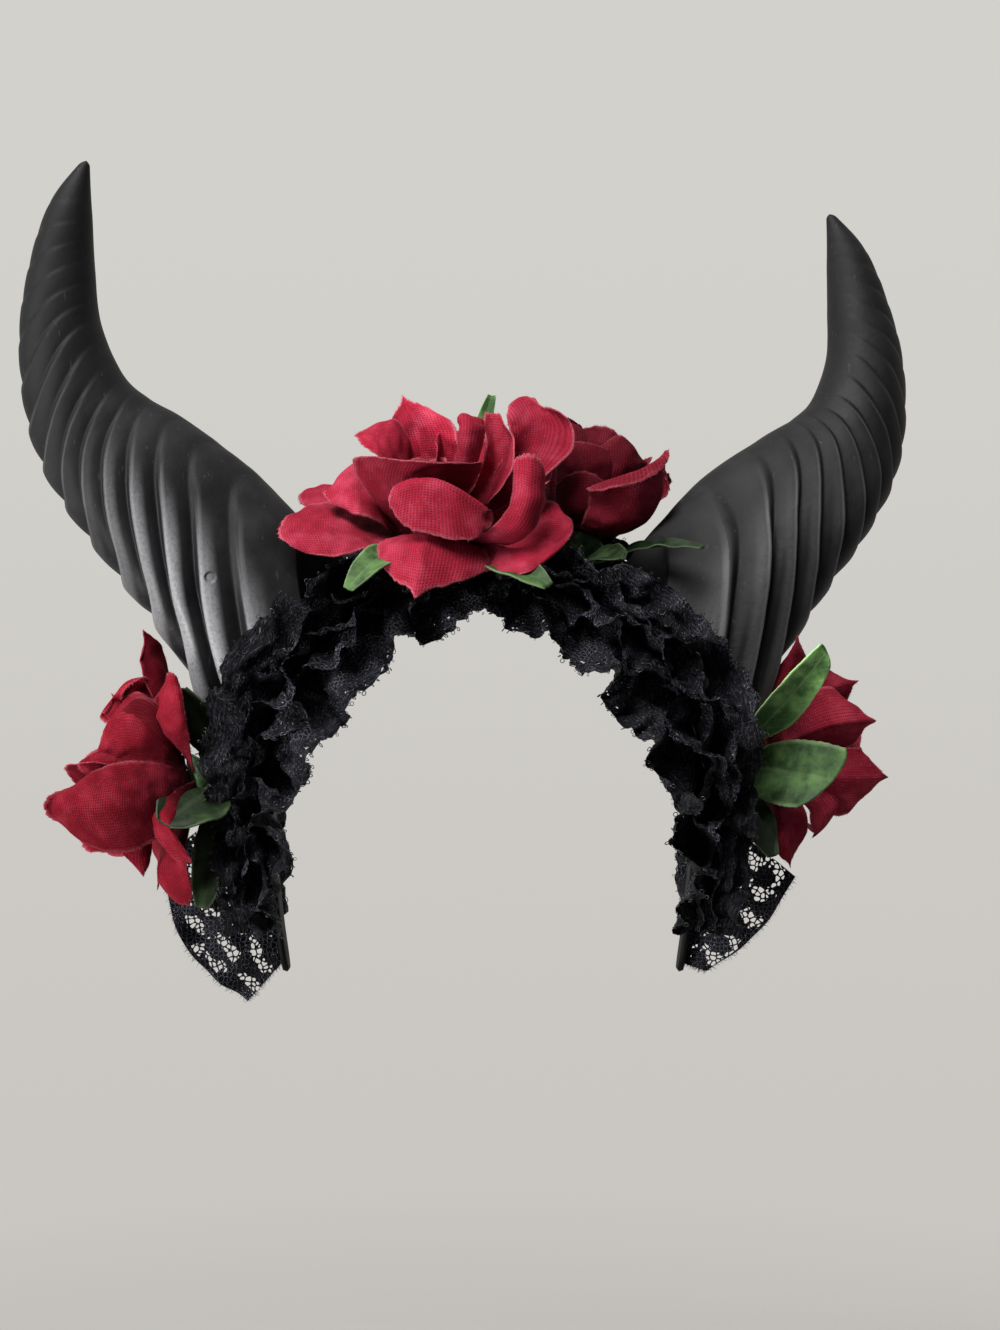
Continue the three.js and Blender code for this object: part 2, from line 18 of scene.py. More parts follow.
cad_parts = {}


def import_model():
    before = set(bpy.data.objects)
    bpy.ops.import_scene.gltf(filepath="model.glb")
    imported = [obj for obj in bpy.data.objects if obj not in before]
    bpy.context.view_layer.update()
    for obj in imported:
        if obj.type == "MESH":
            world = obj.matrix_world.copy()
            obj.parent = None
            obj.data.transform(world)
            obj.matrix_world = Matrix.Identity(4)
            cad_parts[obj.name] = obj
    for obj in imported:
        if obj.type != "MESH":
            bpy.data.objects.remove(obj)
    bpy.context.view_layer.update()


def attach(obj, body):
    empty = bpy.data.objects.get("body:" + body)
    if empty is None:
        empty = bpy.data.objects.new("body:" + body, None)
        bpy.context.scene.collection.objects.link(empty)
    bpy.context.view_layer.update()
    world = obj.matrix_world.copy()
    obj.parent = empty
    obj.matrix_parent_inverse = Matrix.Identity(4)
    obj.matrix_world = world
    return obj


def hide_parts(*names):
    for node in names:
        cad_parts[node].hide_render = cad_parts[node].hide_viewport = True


Grid = np.ndarray
Socket = bpy.types.NodeSocket
Colour = tuple[float, float, float, float]
Place = tuple[float, float, float]
Span = tuple[float, float]
Rim = tuple[Grid, Grid]

LOG = logging.getLogger("headband")
MM = 0.001
UV_PER_MM = 0.01
FULL_TURN = 2 * math.pi
NEAR_NOTHING = 1e-9
NEAR_STRAIGHT = 1e-6
FAR_OFF = 1e9
DOUBLES = 1e-6
WAVE_SPREAD = (0.7, 1.35)
BODY = "root"


# Sums and curves


def smooth(low: float, high: float, x: Grid) -> Grid:
    """Eases from 0 at low to 1 at high."""
    t = np.clip((x - low) / (high - low), 0.0, 1.0)
    return t * t * (3.0 - 2.0 * t)


def through(rows: Sequence[object], column: str, place: Grid) -> Grid:
    """Reads a column of a table as a smooth curve.

    Args:
        rows: The table's rows, evenly spaced.
        column: The name of the column.
        place: Places from 0 at the first row to 1 at the last.

    Returns:
        The column's values at those places.
    """
    values = np.array([getattr(row, column) for row in rows], dtype=float)
    last = len(values) - 1
    at = np.clip(place, 0.0, 1.0) * last
    i = np.minimum(np.floor(at).astype(int), last - 1)
    t = at - i
    a, b, c, d = (values[np.clip(i + step, 0, last)] for step in (-1, 0, 1, 2))
    return b + 0.5 * t * (c - a + t * (2 * a - 5 * b + 4 * c - d + t * (3 * (b - c) + d - a)))


def ripple(points: Grid, pitch: float, seed: int, waves: int = 7) -> Grid:
    """A seeded smooth unevenness.

    Args:
        points: Places in millimetres, the last axis their two or three coordinates.
        pitch: About how far apart the hollows are, in millimetres.
        seed: Which of the patterns it is.
        waves: How many waves are laid over each other.

    Returns:
        Heights between about -1 and 1.
    """
    dice = np.random.default_rng(seed)
    total = np.zeros(points.shape[:-1])
    for _ in range(waves):
        way = dice.normal(size=points.shape[-1])
        way *= FULL_TURN * dice.uniform(*WAVE_SPREAD) / (pitch * np.linalg.norm(way))
        total += np.sin(points @ way + dice.uniform(0, FULL_TURN))
    return total / math.sqrt(waves)


def unit(vectors: Grid) -> Grid:
    """Vectors of length one."""
    return vectors / np.maximum(np.linalg.norm(vectors, axis=-1, keepdims=True), NEAR_NOTHING)


def grid_normals(points: Grid) -> Grid:
    """The ways that a grid of points faces."""
    along = np.gradient(points, axis=0)
    across = np.gradient(points, axis=1)
    return unit(np.cross(along, across))


def lattice(first: Grid, second: Grid) -> tuple[Grid, Grid]:
    """Every pair of two rows of numbers, as two grids."""
    return np.meshgrid(first, second, indexing="ij")


def bent_strip(start: Grid, end: Grid, length: Grid, share: Grid) -> tuple[Grid, Grid]:
    """A strip that leaves at one angle and bends evenly to another.

    Args:
        start: The angle at its root, in radians from straight on.
        end: The angle at its end.
        length: Its length.
        share: The share of the length.

    Returns:
        How far on and how far aside the strip has come.
    """
    rate = np.where(np.abs(end - start) < NEAR_STRAIGHT, NEAR_STRAIGHT, end - start)
    angle = start + rate * share
    return length * (np.sin(angle) - np.sin(start)) / rate, length * (np.cos(start) - np.cos(angle)) / rate


def tone(red: int, green: int, blue: int) -> Colour:
    """A screen colour from 0 to 255 as the light that a shader reads."""

    def light(value: int) -> float:
        """One channel by the standard screen curve."""
        share = value / 255
        return share / 12.92 if share <= 0.04045 else ((share + 0.055) / 1.055) ** 2.4

    return (light(red), light(green), light(blue), 1.0)


# Meshes


@dataclass
class Skin:
    """A surface: points in millimetres, faces, places on the flat cloth, and named values of the points."""

    points: Grid
    faces: Grid
    flat: Grid
    marks: dict[str, Grid] = field(default_factory=dict)

    @classmethod
    def from_grid(cls, points: Grid, flat: Grid, marks: dict[str, Grid], ring: bool = False) -> "Skin":
        """Makes a skin of a grid of points.

        Args:
            points: Rows and columns of points.
            flat: The flat place of each point.
            marks: Named values of each point.
            ring: Whether the last column joins the first.

        Returns:
            The skin, in four-sided faces.
        """
        rows, columns = points.shape[:2]
        place = np.arange(rows * columns).reshape(rows, columns)
        if ring:
            place = np.concatenate([place, place[:, :1]], axis=1)
        corners = (place[:-1, :-1], place[1:, :-1], place[1:, 1:], place[:-1, 1:])
        faces = np.stack([corner.ravel() for corner in corners], axis=1)
        named = {name: value.reshape(-1) for name, value in marks.items()}
        return cls(points.reshape(-1, 3), faces, flat.reshape(-1, 2), named)

    @classmethod
    def joined(cls, skins: Sequence["Skin"]) -> "Skin":
        """One skin of several with the same marks."""
        starts = np.cumsum([0] + [len(skin.points) for skin in skins[:-1]])
        return cls(
            np.concatenate([skin.points for skin in skins]),
            np.concatenate([skin.faces + start for skin, start in zip(skins, starts)]),
            np.concatenate([skin.flat for skin in skins]),
            {name: np.concatenate([skin.marks[name] for skin in skins]) for name in skins[0].marks},
        )

    def cut(self, cloth: Grid) -> "Skin":
        """Cuts openings where a value is below zero.

        Args:
            cloth: A value for each point, above zero where there is cloth.

        Returns:
            The skin that is left, in triangles with clean edges round the openings.
        """
        triangles = np.concatenate([self.faces[:, [0, 1, 2]], self.faces[:, [0, 2, 3]]])
        kept = cloth[triangles] > 0
        count = kept.sum(axis=1)
        whole = triangles[count == 3]
        lone = self._turned_to(triangles[count == 1], kept[count == 1])
        missing = self._turned_to(triangles[count == 2], ~kept[count == 2])
        edges = np.concatenate([lone[:, [0, 1]], lone[:, [0, 2]], missing[:, [1, 0]], missing[:, [2, 0]]])
        unique, index = np.unique(np.sort(edges, axis=1), axis=0, return_inverse=True)
        index = index.reshape(-1) + len(self.points)
        near, far = cloth[unique[:, 0]], cloth[unique[:, 1]]
        share = (near / (near - far))[:, None]

        def middle(values: Grid) -> Grid:
            """Values at the cut points, added after the values of the points."""
            flat = values.reshape(len(values), -1)
            new = flat[unique[:, 0]] * (1 - share) + flat[unique[:, 1]] * share
            return np.concatenate([flat, new]).reshape((-1,) + values.shape[1:])

        first, second, third, fourth = np.split(index, np.cumsum([len(lone), len(lone), len(missing)]))
        faces = np.concatenate([
            whole,
            np.stack([lone[:, 0], first, second], axis=1),
            np.stack([missing[:, 1], missing[:, 2], third], axis=1),
            np.stack([missing[:, 2], fourth, third], axis=1),
        ])
        marks = {name: middle(value) for name, value in self.marks.items()}
        return Skin(middle(self.points), faces, middle(self.flat), marks).trimmed()

    @staticmethod
    def _turned_to(triangles: Grid, chosen: Grid) -> Grid:
        """Triangles with the one chosen corner first, going round the same way."""
        start = np.argmax(chosen, axis=1)
        order = (start[:, None] + np.arange(3)) % 3
        return np.take_along_axis(triangles, order, axis=1)

    def trimmed(self) -> "Skin":
        """The skin without points that no face uses."""
        used, faces = np.unique(self.faces, return_inverse=True)
        marks = {name: value[used] for name, value in self.marks.items()}
        return Skin(self.points[used], faces.reshape(self.faces.shape), self.flat[used], marks)

    def area(self) -> float:
        """The area of the surface in square millimetres."""
        corners = self.points[self.faces]
        total = 0.0
        for last in range(2, self.faces.shape[1]):
            sides = np.cross(corners[:, last - 1] - corners[:, 0], corners[:, last] - corners[:, 0])
            total += np.linalg.norm(sides, axis=1).sum()
        return total / 2

    def to_object(self, name: str, finish: "Finish", closed: bool = False) -> bpy.types.Object:
        """Makes an object of the skin.

        Args:
            name: The object's name.
            finish: What it is finished in.
            closed: Whether it is a closed shell, whose doubles are merged and faces turned outwards.

        Returns:
            The object, at the origin of the frame.
        """
        mesh = bpy.data.meshes.new(name)
        mesh.from_pydata((self.points * MM).tolist(), [], self.faces.tolist())
        uv = mesh.uv_layers.new(name="cloth")
        corner_points = np.empty(len(mesh.loops), dtype=np.int32)
        mesh.loops.foreach_get("vertex_index", corner_points)
        uv.data.foreach_set("uv", (self.flat * UV_PER_MM)[corner_points].astype(np.float32).ravel())
        for mark, values in self.marks.items():
            mesh.attributes.new(mark, "FLOAT", "POINT").data.foreach_set("value", values.astype(np.float32))
        if closed:
            work = bmesh.new()
            work.from_mesh(mesh)
            bmesh.ops.remove_doubles(work, verts=work.verts, dist=DOUBLES)
            bmesh.ops.recalc_face_normals(work, faces=work.faces)
            work.to_mesh(mesh)
            work.free()
        mesh.shade_smooth()
        mesh.materials.append(finish.material())
        made = bpy.data.objects.new(name, mesh)
        bpy.context.collection.objects.link(made)
        return made


def thicken(piece: bpy.types.Object, thickness: float) -> None:
    """Gives a sheet its thickness, in millimetres, to both sides."""
    wall = piece.modifiers.new("cloth", "SOLIDIFY")
    wall.thickness = thickness * MM
    wall.offset = 0.0


def seat(piece: bpy.types.Object, slot: str, *nodes: str) -> None:
    """Fastens a piece to the part.

    Args:
        piece: The piece.
        slot: The record's material slot; not used.
        nodes: The solids that it stands for.
    """
    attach(piece, BODY)
    if nodes:
        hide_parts(*nodes)
    LOG.info("%s: %d faces", piece.name, len(piece.data.polygons))


# Node sketches


RISING = (0.0, 1.0)
FALLING = (1.0, 0.0)


class Sketch:
    """Adds nodes to a tree and joins their sockets."""

    wave_bands = 20
    thread_waver = 0.6
    noise_roughness = 0.6

    def __init__(self, tree: bpy.types.NodeTree) -> None:
        """Starts on a tree."""
        self.tree = tree

    def feed(self, socket: Socket, value: object) -> None:
        """Joins a socket to another one, or sets its value."""
        if isinstance(value, Socket):
            self.tree.links.new(value, socket)
        else:
            socket.default_value = value

    def node(self, kind: str, inputs: dict | None = None, **settings: object) -> bpy.types.Node:
        """Adds a node.

        Args:
            kind: Blender's name for it.
            inputs: Values or sockets for its inputs, by name or number.
            settings: Its own settings.

        Returns:
            The node.
        """
        made = self.tree.nodes.new(kind)
        for name, value in settings.items():
            setattr(made, name, value)
        for key, value in (inputs or {}).items():
            self.feed(made.inputs[key], value)
        return made

    def sum(self, operation: str, first: object, second: object = 0.0) -> Socket:
        """A sum of two numbers."""
        return self.node("ShaderNodeMath", {0: first, 1: second}, operation=operation).outputs[0]

    def times(self, first: object, *others: object) -> object:
        """Numbers multiplied together."""
        for other in others:
            first = self.sum("MULTIPLY", first, other)
        return first

    def vector(self, operation: str, first: object, second: object = None) -> Socket:
        """A sum of two vectors, a vector scaled by a number, or the length of one."""
        made = self.node("ShaderNodeVectorMath", {0: first}, operation=operation)
        if second is not None:
            self.feed(made.inputs["Scale" if operation == "SCALE" else 1], second)
        return made.outputs["Value" if operation == "LENGTH" else 0]

    def ease(self, value: object, span: Span, to: Span = RISING) -> Socket:
        """A number eased over a span, from the first to the second value that it goes to."""
        inputs = {"Value": value, "From Min": span[0], "From Max": span[1], "To Min": to[0], "To Max": to[1]}
        return self.node("ShaderNodeMapRange", inputs, interpolation_type="SMOOTHSTEP").outputs[0]

    def blend(self, share: object, first: object, second: object, kind: str = "MIX") -> Socket:
        """Two colours blended by a share."""
        made = self.node("ShaderNodeMix", {0: share, 6: first, 7: second}, data_type="RGBA", blend_type=kind)
        return made.outputs[2]

    def layers(self, colour: object, *coats: tuple[object, object]) -> object:
        """A colour with coats over it, each a share and a colour."""
        for share, coat in coats:
            colour = self.blend(share, colour, coat)
        return colour

    def shaded(self, colour: object) -> Socket:
        """A colour made darker or brighter by the shade of the mesh's points: painted light and shade, with a
        random tone on petals.
        """
        shade = self.mark("shade")
        grey = self.node("ShaderNodeCombineColor", {0: shade, 1: shade, 2: shade}).outputs[0]
        return self.blend(1.0, colour, grey, "MULTIPLY")

    def mark(self, name: str) -> Socket:
        """A named value of the mesh's points, in a material."""
        return self.node("ShaderNodeAttribute", attribute_name=name).outputs["Fac"]

    def named(self, name: str, kind: str = "FLOAT") -> Socket:
        """A named value of the mesh's points, in a geometry tree."""
        return self.node("GeometryNodeInputNamedAttribute", {"Name": name}, data_type=kind).outputs[0]

    def chance(self, low: object, high: object, seed: Socket) -> Socket:
        """Random numbers between two, or random vectors between two."""
        if isinstance(low, tuple):
            inputs, kind, out = {0: low, 1: high}, "FLOAT_VECTOR", 0
        else:
            inputs, kind, out = {2: low, 3: high}, "FLOAT", 1
        return self.node("FunctionNodeRandomValue", inputs | {"Seed": seed}, data_type=kind).outputs[out]

    def thin_ring(self, radius: Socket, thickness: Socket, steps: int, sides: int = 3) -> Socket:
        """A ring of thread, in steps around and sides across."""
        path, section = (
            self.node("GeometryNodeCurvePrimitiveCircle", {"Resolution": count, "Radius": size}).outputs[0]
            for count, size in ((steps, radius), (sides, thickness))
        )
        return self.node("GeometryNodeCurveToMesh", {"Curve": path, "Profile Curve": section}).outputs[0]

    def place(self) -> Socket:
        """The place in the frame, in metres."""
        return self.node("ShaderNodeTexCoord").outputs["Object"]

    def flat(self) -> Socket:
        """The place on the flat cloth."""
        return self.node("ShaderNodeUVMap", uv_map="cloth").outputs["UV"]

    def noise(self, where: Socket, pitch: float, detail: float) -> Socket:
        """Noise with spots a pitch apart, in the units of the place."""
        inputs = {"Vector": where, "Scale": 1.0 / pitch, "Detail": detail, "Roughness": self.noise_roughness}
        return self.node("ShaderNodeTexNoise", inputs).outputs[0]

    def grain(self, pitch: float, detail: float = 3.0) -> Socket:
        """Noise in the frame, its spots a pitch in millimetres apart."""
        return self.noise(self.place(), pitch * MM, detail)

    def weave(self, pitch: float) -> Socket:
        """Crossing threads on the flat cloth, a pitch in millimetres apart."""
        scale = FULL_TURN / (self.wave_bands * pitch * UV_PER_MM)
        inputs = {"Vector": self.flat(), "Scale": scale, "Distortion": self.thread_waver}
        warp, weft = (
            self.node("ShaderNodeTexWave", inputs, bands_direction=way).outputs["Fac"] for way in ("X", "Y")
        )
        return self.sum("MAXIMUM", warp, weft)

    def relief(self, *bumps: tuple[object, Span]) -> Socket:
        """Fine relief of bumps over each other, each a height with its strength and its depth."""
        normal = {}
        for height, (strength, depth) in bumps:
            inputs = {"Height": height, "Strength": strength, "Distance": depth * MM}
            normal = {"Normal": self.node("ShaderNodeBump", inputs | normal).outputs[0]}
        return normal["Normal"]


# Finishes: pitches in millimetres, spans of where a look starts and is full, bumps of strength and depth


@dataclass(frozen=True)
class Finish:
    """A finish that makes its material once."""

    name: str

    def material(self) -> bpy.types.Material:
        """The finish's material."""
        known = bpy.data.materials.get(self.name)
        if known is not None:
            return known
        made = bpy.data.materials.new(self.name)
        made.use_nodes = True
        sketch = Sketch(made.node_tree)
        shader = made.node_tree.nodes["Principled BSDF"]
        for label, value in self.looks(sketch).items():
            sketch.feed(shader.inputs[label], value)
        return made

    def looks(self, sketch: Sketch) -> dict[str, object]:
        """What goes into each of the shader's inputs."""
        raise NotImplementedError


@dataclass(frozen=True)
class HornFinish(Finish):
    """Satin black casting with dusty crests, darker towards the tip, rib lips and foot streaks painted pale
    as highlights, fine scratches and a small round flaw.
    """

    body: Colour = tone(15, 15, 17)
    dust: Colour = tone(42, 42, 44)
    # Pale grey painted on the rib lips and on the foot's streaks: a painted highlight.
    rubbed: Colour = tone(150, 150, 154)
    scratched: Colour = tone(110, 110, 112)
    blotch_pitch: float = 28.0
    dent_pitch: float = 6.0
    speck_pitch: float = 1.1
    scratch_pitch: float = 1.4
    scratch_stretch: Place = (1.0, 1.0, 0.16)
    scratches: Span = (0.7, 0.78)
    scratch_share: float = 0.12
    dusty_blotches: Span = (0.35, 0.75)
    dusty_crests: Span = (0.1, 1.0)
    dust_off_crests: Span = (0.3, 1.0)
    # The pale coat thins out higher up, so the horn is darker towards its tip.
    darkening_heights: Span = (0.02, 0.09)
    darkening_to_tip: Span = (1.0, 0.15)
    # Where the rib lips are painted pale as a highlight, and how strongly.
    lip_highlights: Span = (0.975, 1.0)
    lip_highlight_stands: Span = (0.0005, 0.0026)
    lip_highlight_share: float = 0.18
    # Where the foot's rib faces are painted pale as a highlight, and how strongly.
    foot_highlight_crests: Span = (0.6, 1.0)
    foot_highlight_specks: Span = (0.3, 0.6)
    foot_highlight_grain: Span = (0.7, 1.0)
    foot_highlight_share: float = 0.8
    matt_blotches: Span = (0.25, 0.8)
    roughness: Span = (0.58, 0.7)
    polish_gloss: float = 0.32
    shine: float = 0.2
    speck_bump: Span = (0.22, 0.25)
    dent_bump: Span = (0.22, 0.9)
    scratch_bump: Span = (0.1, 0.2)
    pit_bump: Span = (1.0, 1.0)
    pit: Place = (-96.0, -20.0, 3.5)
    pit_radius: float = 2.4
    pit_floor: float = 0.55
    pit_flatness: Place = (1.0, 0.15, 1.0)

    def looks(self, sketch: Sketch) -> dict[str, object]:
        """What goes into each of the shader's inputs."""
        place = sketch.place()
        rib_rise, gloss_and_highlight = sketch.mark("rib_rise"), sketch.mark("gloss_and_highlight")
        blotch = sketch.grain(self.blotch_pitch)
        speck = sketch.grain(self.speck_pitch, 2.0)
        stretch = {"Vector": place, "Scale": self.scratch_stretch}
        stretched = sketch.node("ShaderNodeMapping", stretch).outputs[0]
        scratch = sketch.ease(sketch.noise(stretched, self.scratch_pitch * MM, 1.0), self.scratches)
        height = sketch.node("ShaderNodeSeparateXYZ", {0: place}).outputs["Z"]
        # Pale coat in blotches and on crests, thinning out higher up.
        dusty = sketch.times(
            sketch.ease(blotch, self.dusty_blotches),
            sketch.ease(rib_rise, self.dusty_crests, self.dust_off_crests),
            sketch.ease(height, self.darkening_heights, self.darkening_to_tip),
        )
        # Painted highlight: the lips of standing ribs are painted pale.
        proud = sketch.ease(sketch.mark("stand"), self.lip_highlight_stands)
        lip = sketch.times(sketch.ease(rib_rise, self.lip_highlights), proud, self.lip_highlight_share)
        # Painted highlight: pale streaks, dappled by specks, on the rib faces of the glossy foot.
        specks = sketch.ease(speck, self.foot_highlight_specks, self.foot_highlight_grain)
        foot_highlight = sketch.times(sketch.ease(rib_rise, self.foot_highlight_crests), specks, gloss_and_highlight, self.foot_highlight_share)
        colour = sketch.layers(
            self.body,
            (dusty, self.dust),
            (lip, self.rubbed),
            (foot_highlight, self.rubbed),
            (sketch.times(scratch, self.scratch_share), self.scratched),
        )
        matt = sketch.ease(blotch, self.matt_blotches, self.roughness)
        relief = sketch.relief(
            (speck, self.speck_bump),
            (sketch.grain(self.dent_pitch, 2.0), self.dent_bump),
            (scratch, self.scratch_bump),
            (self._dimple(sketch, place), self.pit_bump),
        )
        return {
            "Base Color": colour,
            "Roughness": sketch.sum("SUBTRACT", matt, sketch.times(gloss_and_highlight, self.polish_gloss)),
            "Normal": relief,
            "Specular IOR Level": self.shine,
        }

    def _dimple(self, sketch: Sketch, place: Socket) -> Socket:
        """The height of the round flaw in the left casting's front, from 0 in its floor to 1 outside it."""
        away = sketch.vector("SUBTRACT", place, tuple(length * MM for length in self.pit))
        away = sketch.vector("LENGTH", sketch.vector("MULTIPLY", away, self.pit_flatness))
        return sketch.ease(away, (self.pit_floor * self.pit_radius * MM, self.pit_radius * MM))


@dataclass(frozen=True)
class BandFinish(Finish):
    """Smooth black moulded plastic with faint rubbing."""

    body: Colour = tone(8, 8, 9)
    rubbed: Colour = tone(16, 16, 17)
    rub_pitch: float = 7.0
    rubs: Span = (0.5, 0.8)
    gloss_rubs: Span = (0.3, 0.8)
    roughness: Span = (0.5, 0.65)
    shine: float = 0.06
    grain_pitch: float = 1.2
    grain_bump: Span = (0.08, 0.15)

    def looks(self, sketch: Sketch) -> dict[str, object]:
        """What goes into each of the shader's inputs."""
        rubbing = sketch.grain(self.rub_pitch, 4.0)
        return {
            "Base Color": sketch.blend(sketch.ease(rubbing, self.rubs), self.body, self.rubbed),
            "Roughness": sketch.ease(rubbing, self.gloss_rubs, self.roughness),
            "Normal": sketch.relief((sketch.grain(self.grain_pitch), self.grain_bump)),
            "Specular IOR Level": self.shine,
        }


@dataclass(frozen=True)
class LaceFinish(Finish):
    """Black lace ground: a fine twisted net, denser sprigs, and pale specks painted on as glints of thread
    catching the light.
    """

    hollow: Colour = tone(3, 3, 5)
    thread: Colour = tone(53, 54, 63)
    # Painted glints: the pale specks on the net.
    knot_glint: Colour = tone(132, 134, 144)
    sprig: Colour = tone(16, 16, 20)
    mesh_pitch: float = 1.6
    mesh_unevenness: float = 0.75
    threads: Span = (0.05, 0.2)
    sprig_pitch: float = 9.0
    sprigs: Span = (0.5, 0.56)
    sprig_share: float = 0.7
    knot_glint_pitch: float = 0.7
    knot_glints: Span = (0.67, 0.73)
    twist_pitch: float = 0.5
    twists: Span = (0.3, 0.7)
    twist_height: float = 0.8
    roughness: Span = (0.42, 0.8)
    shine: float = 0.1
    thread_bump: Span = (0.9, 0.5)

    def looks(self, sketch: Sketch) -> dict[str, object]:
        """What goes into each of the shader's inputs."""
        flat = sketch.flat()
        scale = 1.0 / (self.mesh_pitch * UV_PER_MM)
        mesh = {"Vector": flat, "Scale": scale, "Randomness": self.mesh_unevenness}
        settings = {"feature": "DISTANCE_TO_EDGE", "voronoi_dimensions": "2D"}
        edge = sketch.node("ShaderNodeTexVoronoi", mesh, **settings).outputs["Distance"]
        net = sketch.ease(edge, self.threads, FALLING)
        sprigs = sketch.ease(sketch.noise(flat, self.sprig_pitch * UV_PER_MM, 2.0), self.sprigs)
        # Painted glints: sparse pale specks on the net.
        knot_glints = sketch.ease(sketch.noise(flat, self.knot_glint_pitch * UV_PER_MM, 1.0), self.knot_glints)
        twist = sketch.noise(flat, self.twist_pitch * UV_PER_MM, 2.0)
        colour = sketch.layers(
            self.hollow,
            (net, self.thread),
            (sketch.times(sprigs, self.sprig_share), self.sprig),
            (knot_glints, self.knot_glint),
        )
        height = sketch.sum("ADD", net, sketch.times(twist, self.twist_height))
        return {
            "Base Color": colour,
            "Roughness": sketch.ease(twist, self.twists, self.roughness),
            "Normal": sketch.relief((height, self.thread_bump)),
            "Specular IOR Level": self.shine,
        }


@dataclass(frozen=True)
class ThreadFinish(Finish):
    """Spun thread: a colour with pale patches, fine strands and a set gloss."""

    body: Colour
    pale: Colour
    gloss: float
    strand_pitch: float = 0.6
    strand_bump: Span = (0.5, 0.15)
    patch_pitch: float = 6.0
    patches: Span = (0.5, 0.75)

    def looks(self, sketch: Sketch) -> dict[str, object]:
        """What goes into each of the shader's inputs."""
        patches = sketch.ease(sketch.grain(self.patch_pitch, 1.0), self.patches)
        return {
            "Base Color": sketch.blend(patches, self.body, self.pale),
            "Roughness": self.gloss,
            "Normal": sketch.relief((sketch.grain(self.strand_pitch, 2.0), self.strand_bump)),
        }


@dataclass(frozen=True)
class PetalFinish(Finish):
    """Pressed woven cloth: painted shade dark at the root, deep in the bloom, bright outwards, with a pale
    frayed rim.
    """

    # Painted shade at the petals' roots, deep in the bloom; also the colour of the gaps in the weave.
    root: Colour
    body: Colour
    bright: Colour
    rim: Colour
    shaded_root_depths: Span = (0.05, 0.55)
    blotch_pitch: float = 11.0
    blotches: Span = (0.42, 0.78)
    weave_pitch: float = 0.95
    weave_gaps: Span = (0.75, 0.2)
    gap_share: float = 0.62
    fuzz_pitch: float = 0.9
    fuzzes: Span = (0.55, 0.8)
    fuzz_share: float = 0.25
    fray_fuzzes: Span = (0.3, 0.6)
    fray_shares: Span = (0.15, 0.6)
    dent_pitch: float = 5.0
    weave_bump: Span = (0.5, 0.25)
    fuzz_bump: Span = (0.3, 0.25)
    dent_bump: Span = (0.25, 0.8)
    roughness: float = 0.85
    shine: float = 0.06

    def looks(self, sketch: Sketch) -> dict[str, object]:
        """What goes into each of the shader's inputs."""
        weave = sketch.weave(self.weave_pitch)
        fuzz = sketch.grain(self.fuzz_pitch)
        frayed = sketch.ease(fuzz, self.fray_fuzzes, self.fray_shares)
        # Painted shade: dark at the root, brightening outwards.
        colour = sketch.layers(
            self.root,
            (sketch.ease(sketch.mark("depth"), self.shaded_root_depths), self.body),
            (sketch.ease(sketch.grain(self.blotch_pitch, 2.0), self.blotches), self.bright),
            (sketch.times(sketch.ease(weave, self.weave_gaps), self.gap_share), self.root),
            (sketch.times(sketch.ease(fuzz, self.fuzzes), self.fuzz_share), self.rim),
            (sketch.times(sketch.mark("rim"), frayed), self.rim),
        )
        relief = sketch.relief(
            (weave, self.weave_bump),
            (fuzz, self.fuzz_bump),
            (sketch.grain(self.dent_pitch, 2.0), self.dent_bump),
        )
        return {
            "Base Color": sketch.shaded(colour),
            "Roughness": self.roughness,
            "Normal": relief,
            "Specular IOR Level": self.shine,
        }


@dataclass(frozen=True)
class LeafFinish(Finish):
    """Waxed leaf cloth: pale midrib and side veins, blotches of dark and light green that paint satin sheen
    bands, and a pale cut edge.
    """

    # Dark and light green blotched together: partly random tone, partly painted satin sheen.
    dark: Colour = tone(32, 56, 26)
    body: Colour = tone(80, 112, 62)
    pale: Colour = tone(144, 168, 122)
    blotch_pitch: float = 9.0
    blotches: Span = (0.35, 0.7)
    vein_count: float = 9.0
    vein_slant: float = 1.9
    vein_edges: Span = (0.0, 0.09)
    vein_height: float = 0.55
    midrib_edges: Span = (0.03, 0.11)
    line_share: float = 0.09
    rim_share: float = 0.35
    gloss_blotches: Span = (0.3, 0.7)
    roughness: Span = (0.5, 0.7)
    shine: float = 0.2
    grain_pitch: float = 0.8
    grain_bump: Span = (0.35, 0.2)
    line_bump: Span = (0.3, 0.3)

    def looks(self, sketch: Sketch) -> dict[str, object]:
        """What goes into each of the shader's inputs."""
        side = sketch.mark("side")
        blotch = sketch.grain(self.blotch_pitch)
        along = sketch.times(sketch.mark("depth"), self.vein_count)
        slant = sketch.sum("SUBTRACT", along, sketch.times(side, self.vein_slant))
        veins = sketch.ease(sketch.sum("PINGPONG", slant, 0.5), self.vein_edges, FALLING)
        midrib = sketch.ease(side, self.midrib_edges, FALLING)
        lines = sketch.sum("MAXIMUM", midrib, sketch.times(veins, self.vein_height))
        # Blotches paint satin sheen bands over a random tone.
        colour = sketch.layers(
            self.dark,
            (sketch.ease(blotch, self.blotches), self.body),
            (sketch.times(lines, self.line_share), self.pale),
            (sketch.times(sketch.mark("rim"), self.rim_share), self.pale),
        )
        fine = sketch.grain(self.grain_pitch, 2.0)
        return {
            "Base Color": sketch.shaded(colour),
            "Roughness": sketch.ease(blotch, self.gloss_blotches, self.roughness),
            "Normal": sketch.relief((fine, self.grain_bump), (lines, self.line_bump)),
            "Specular IOR Level": self.shine,
        }


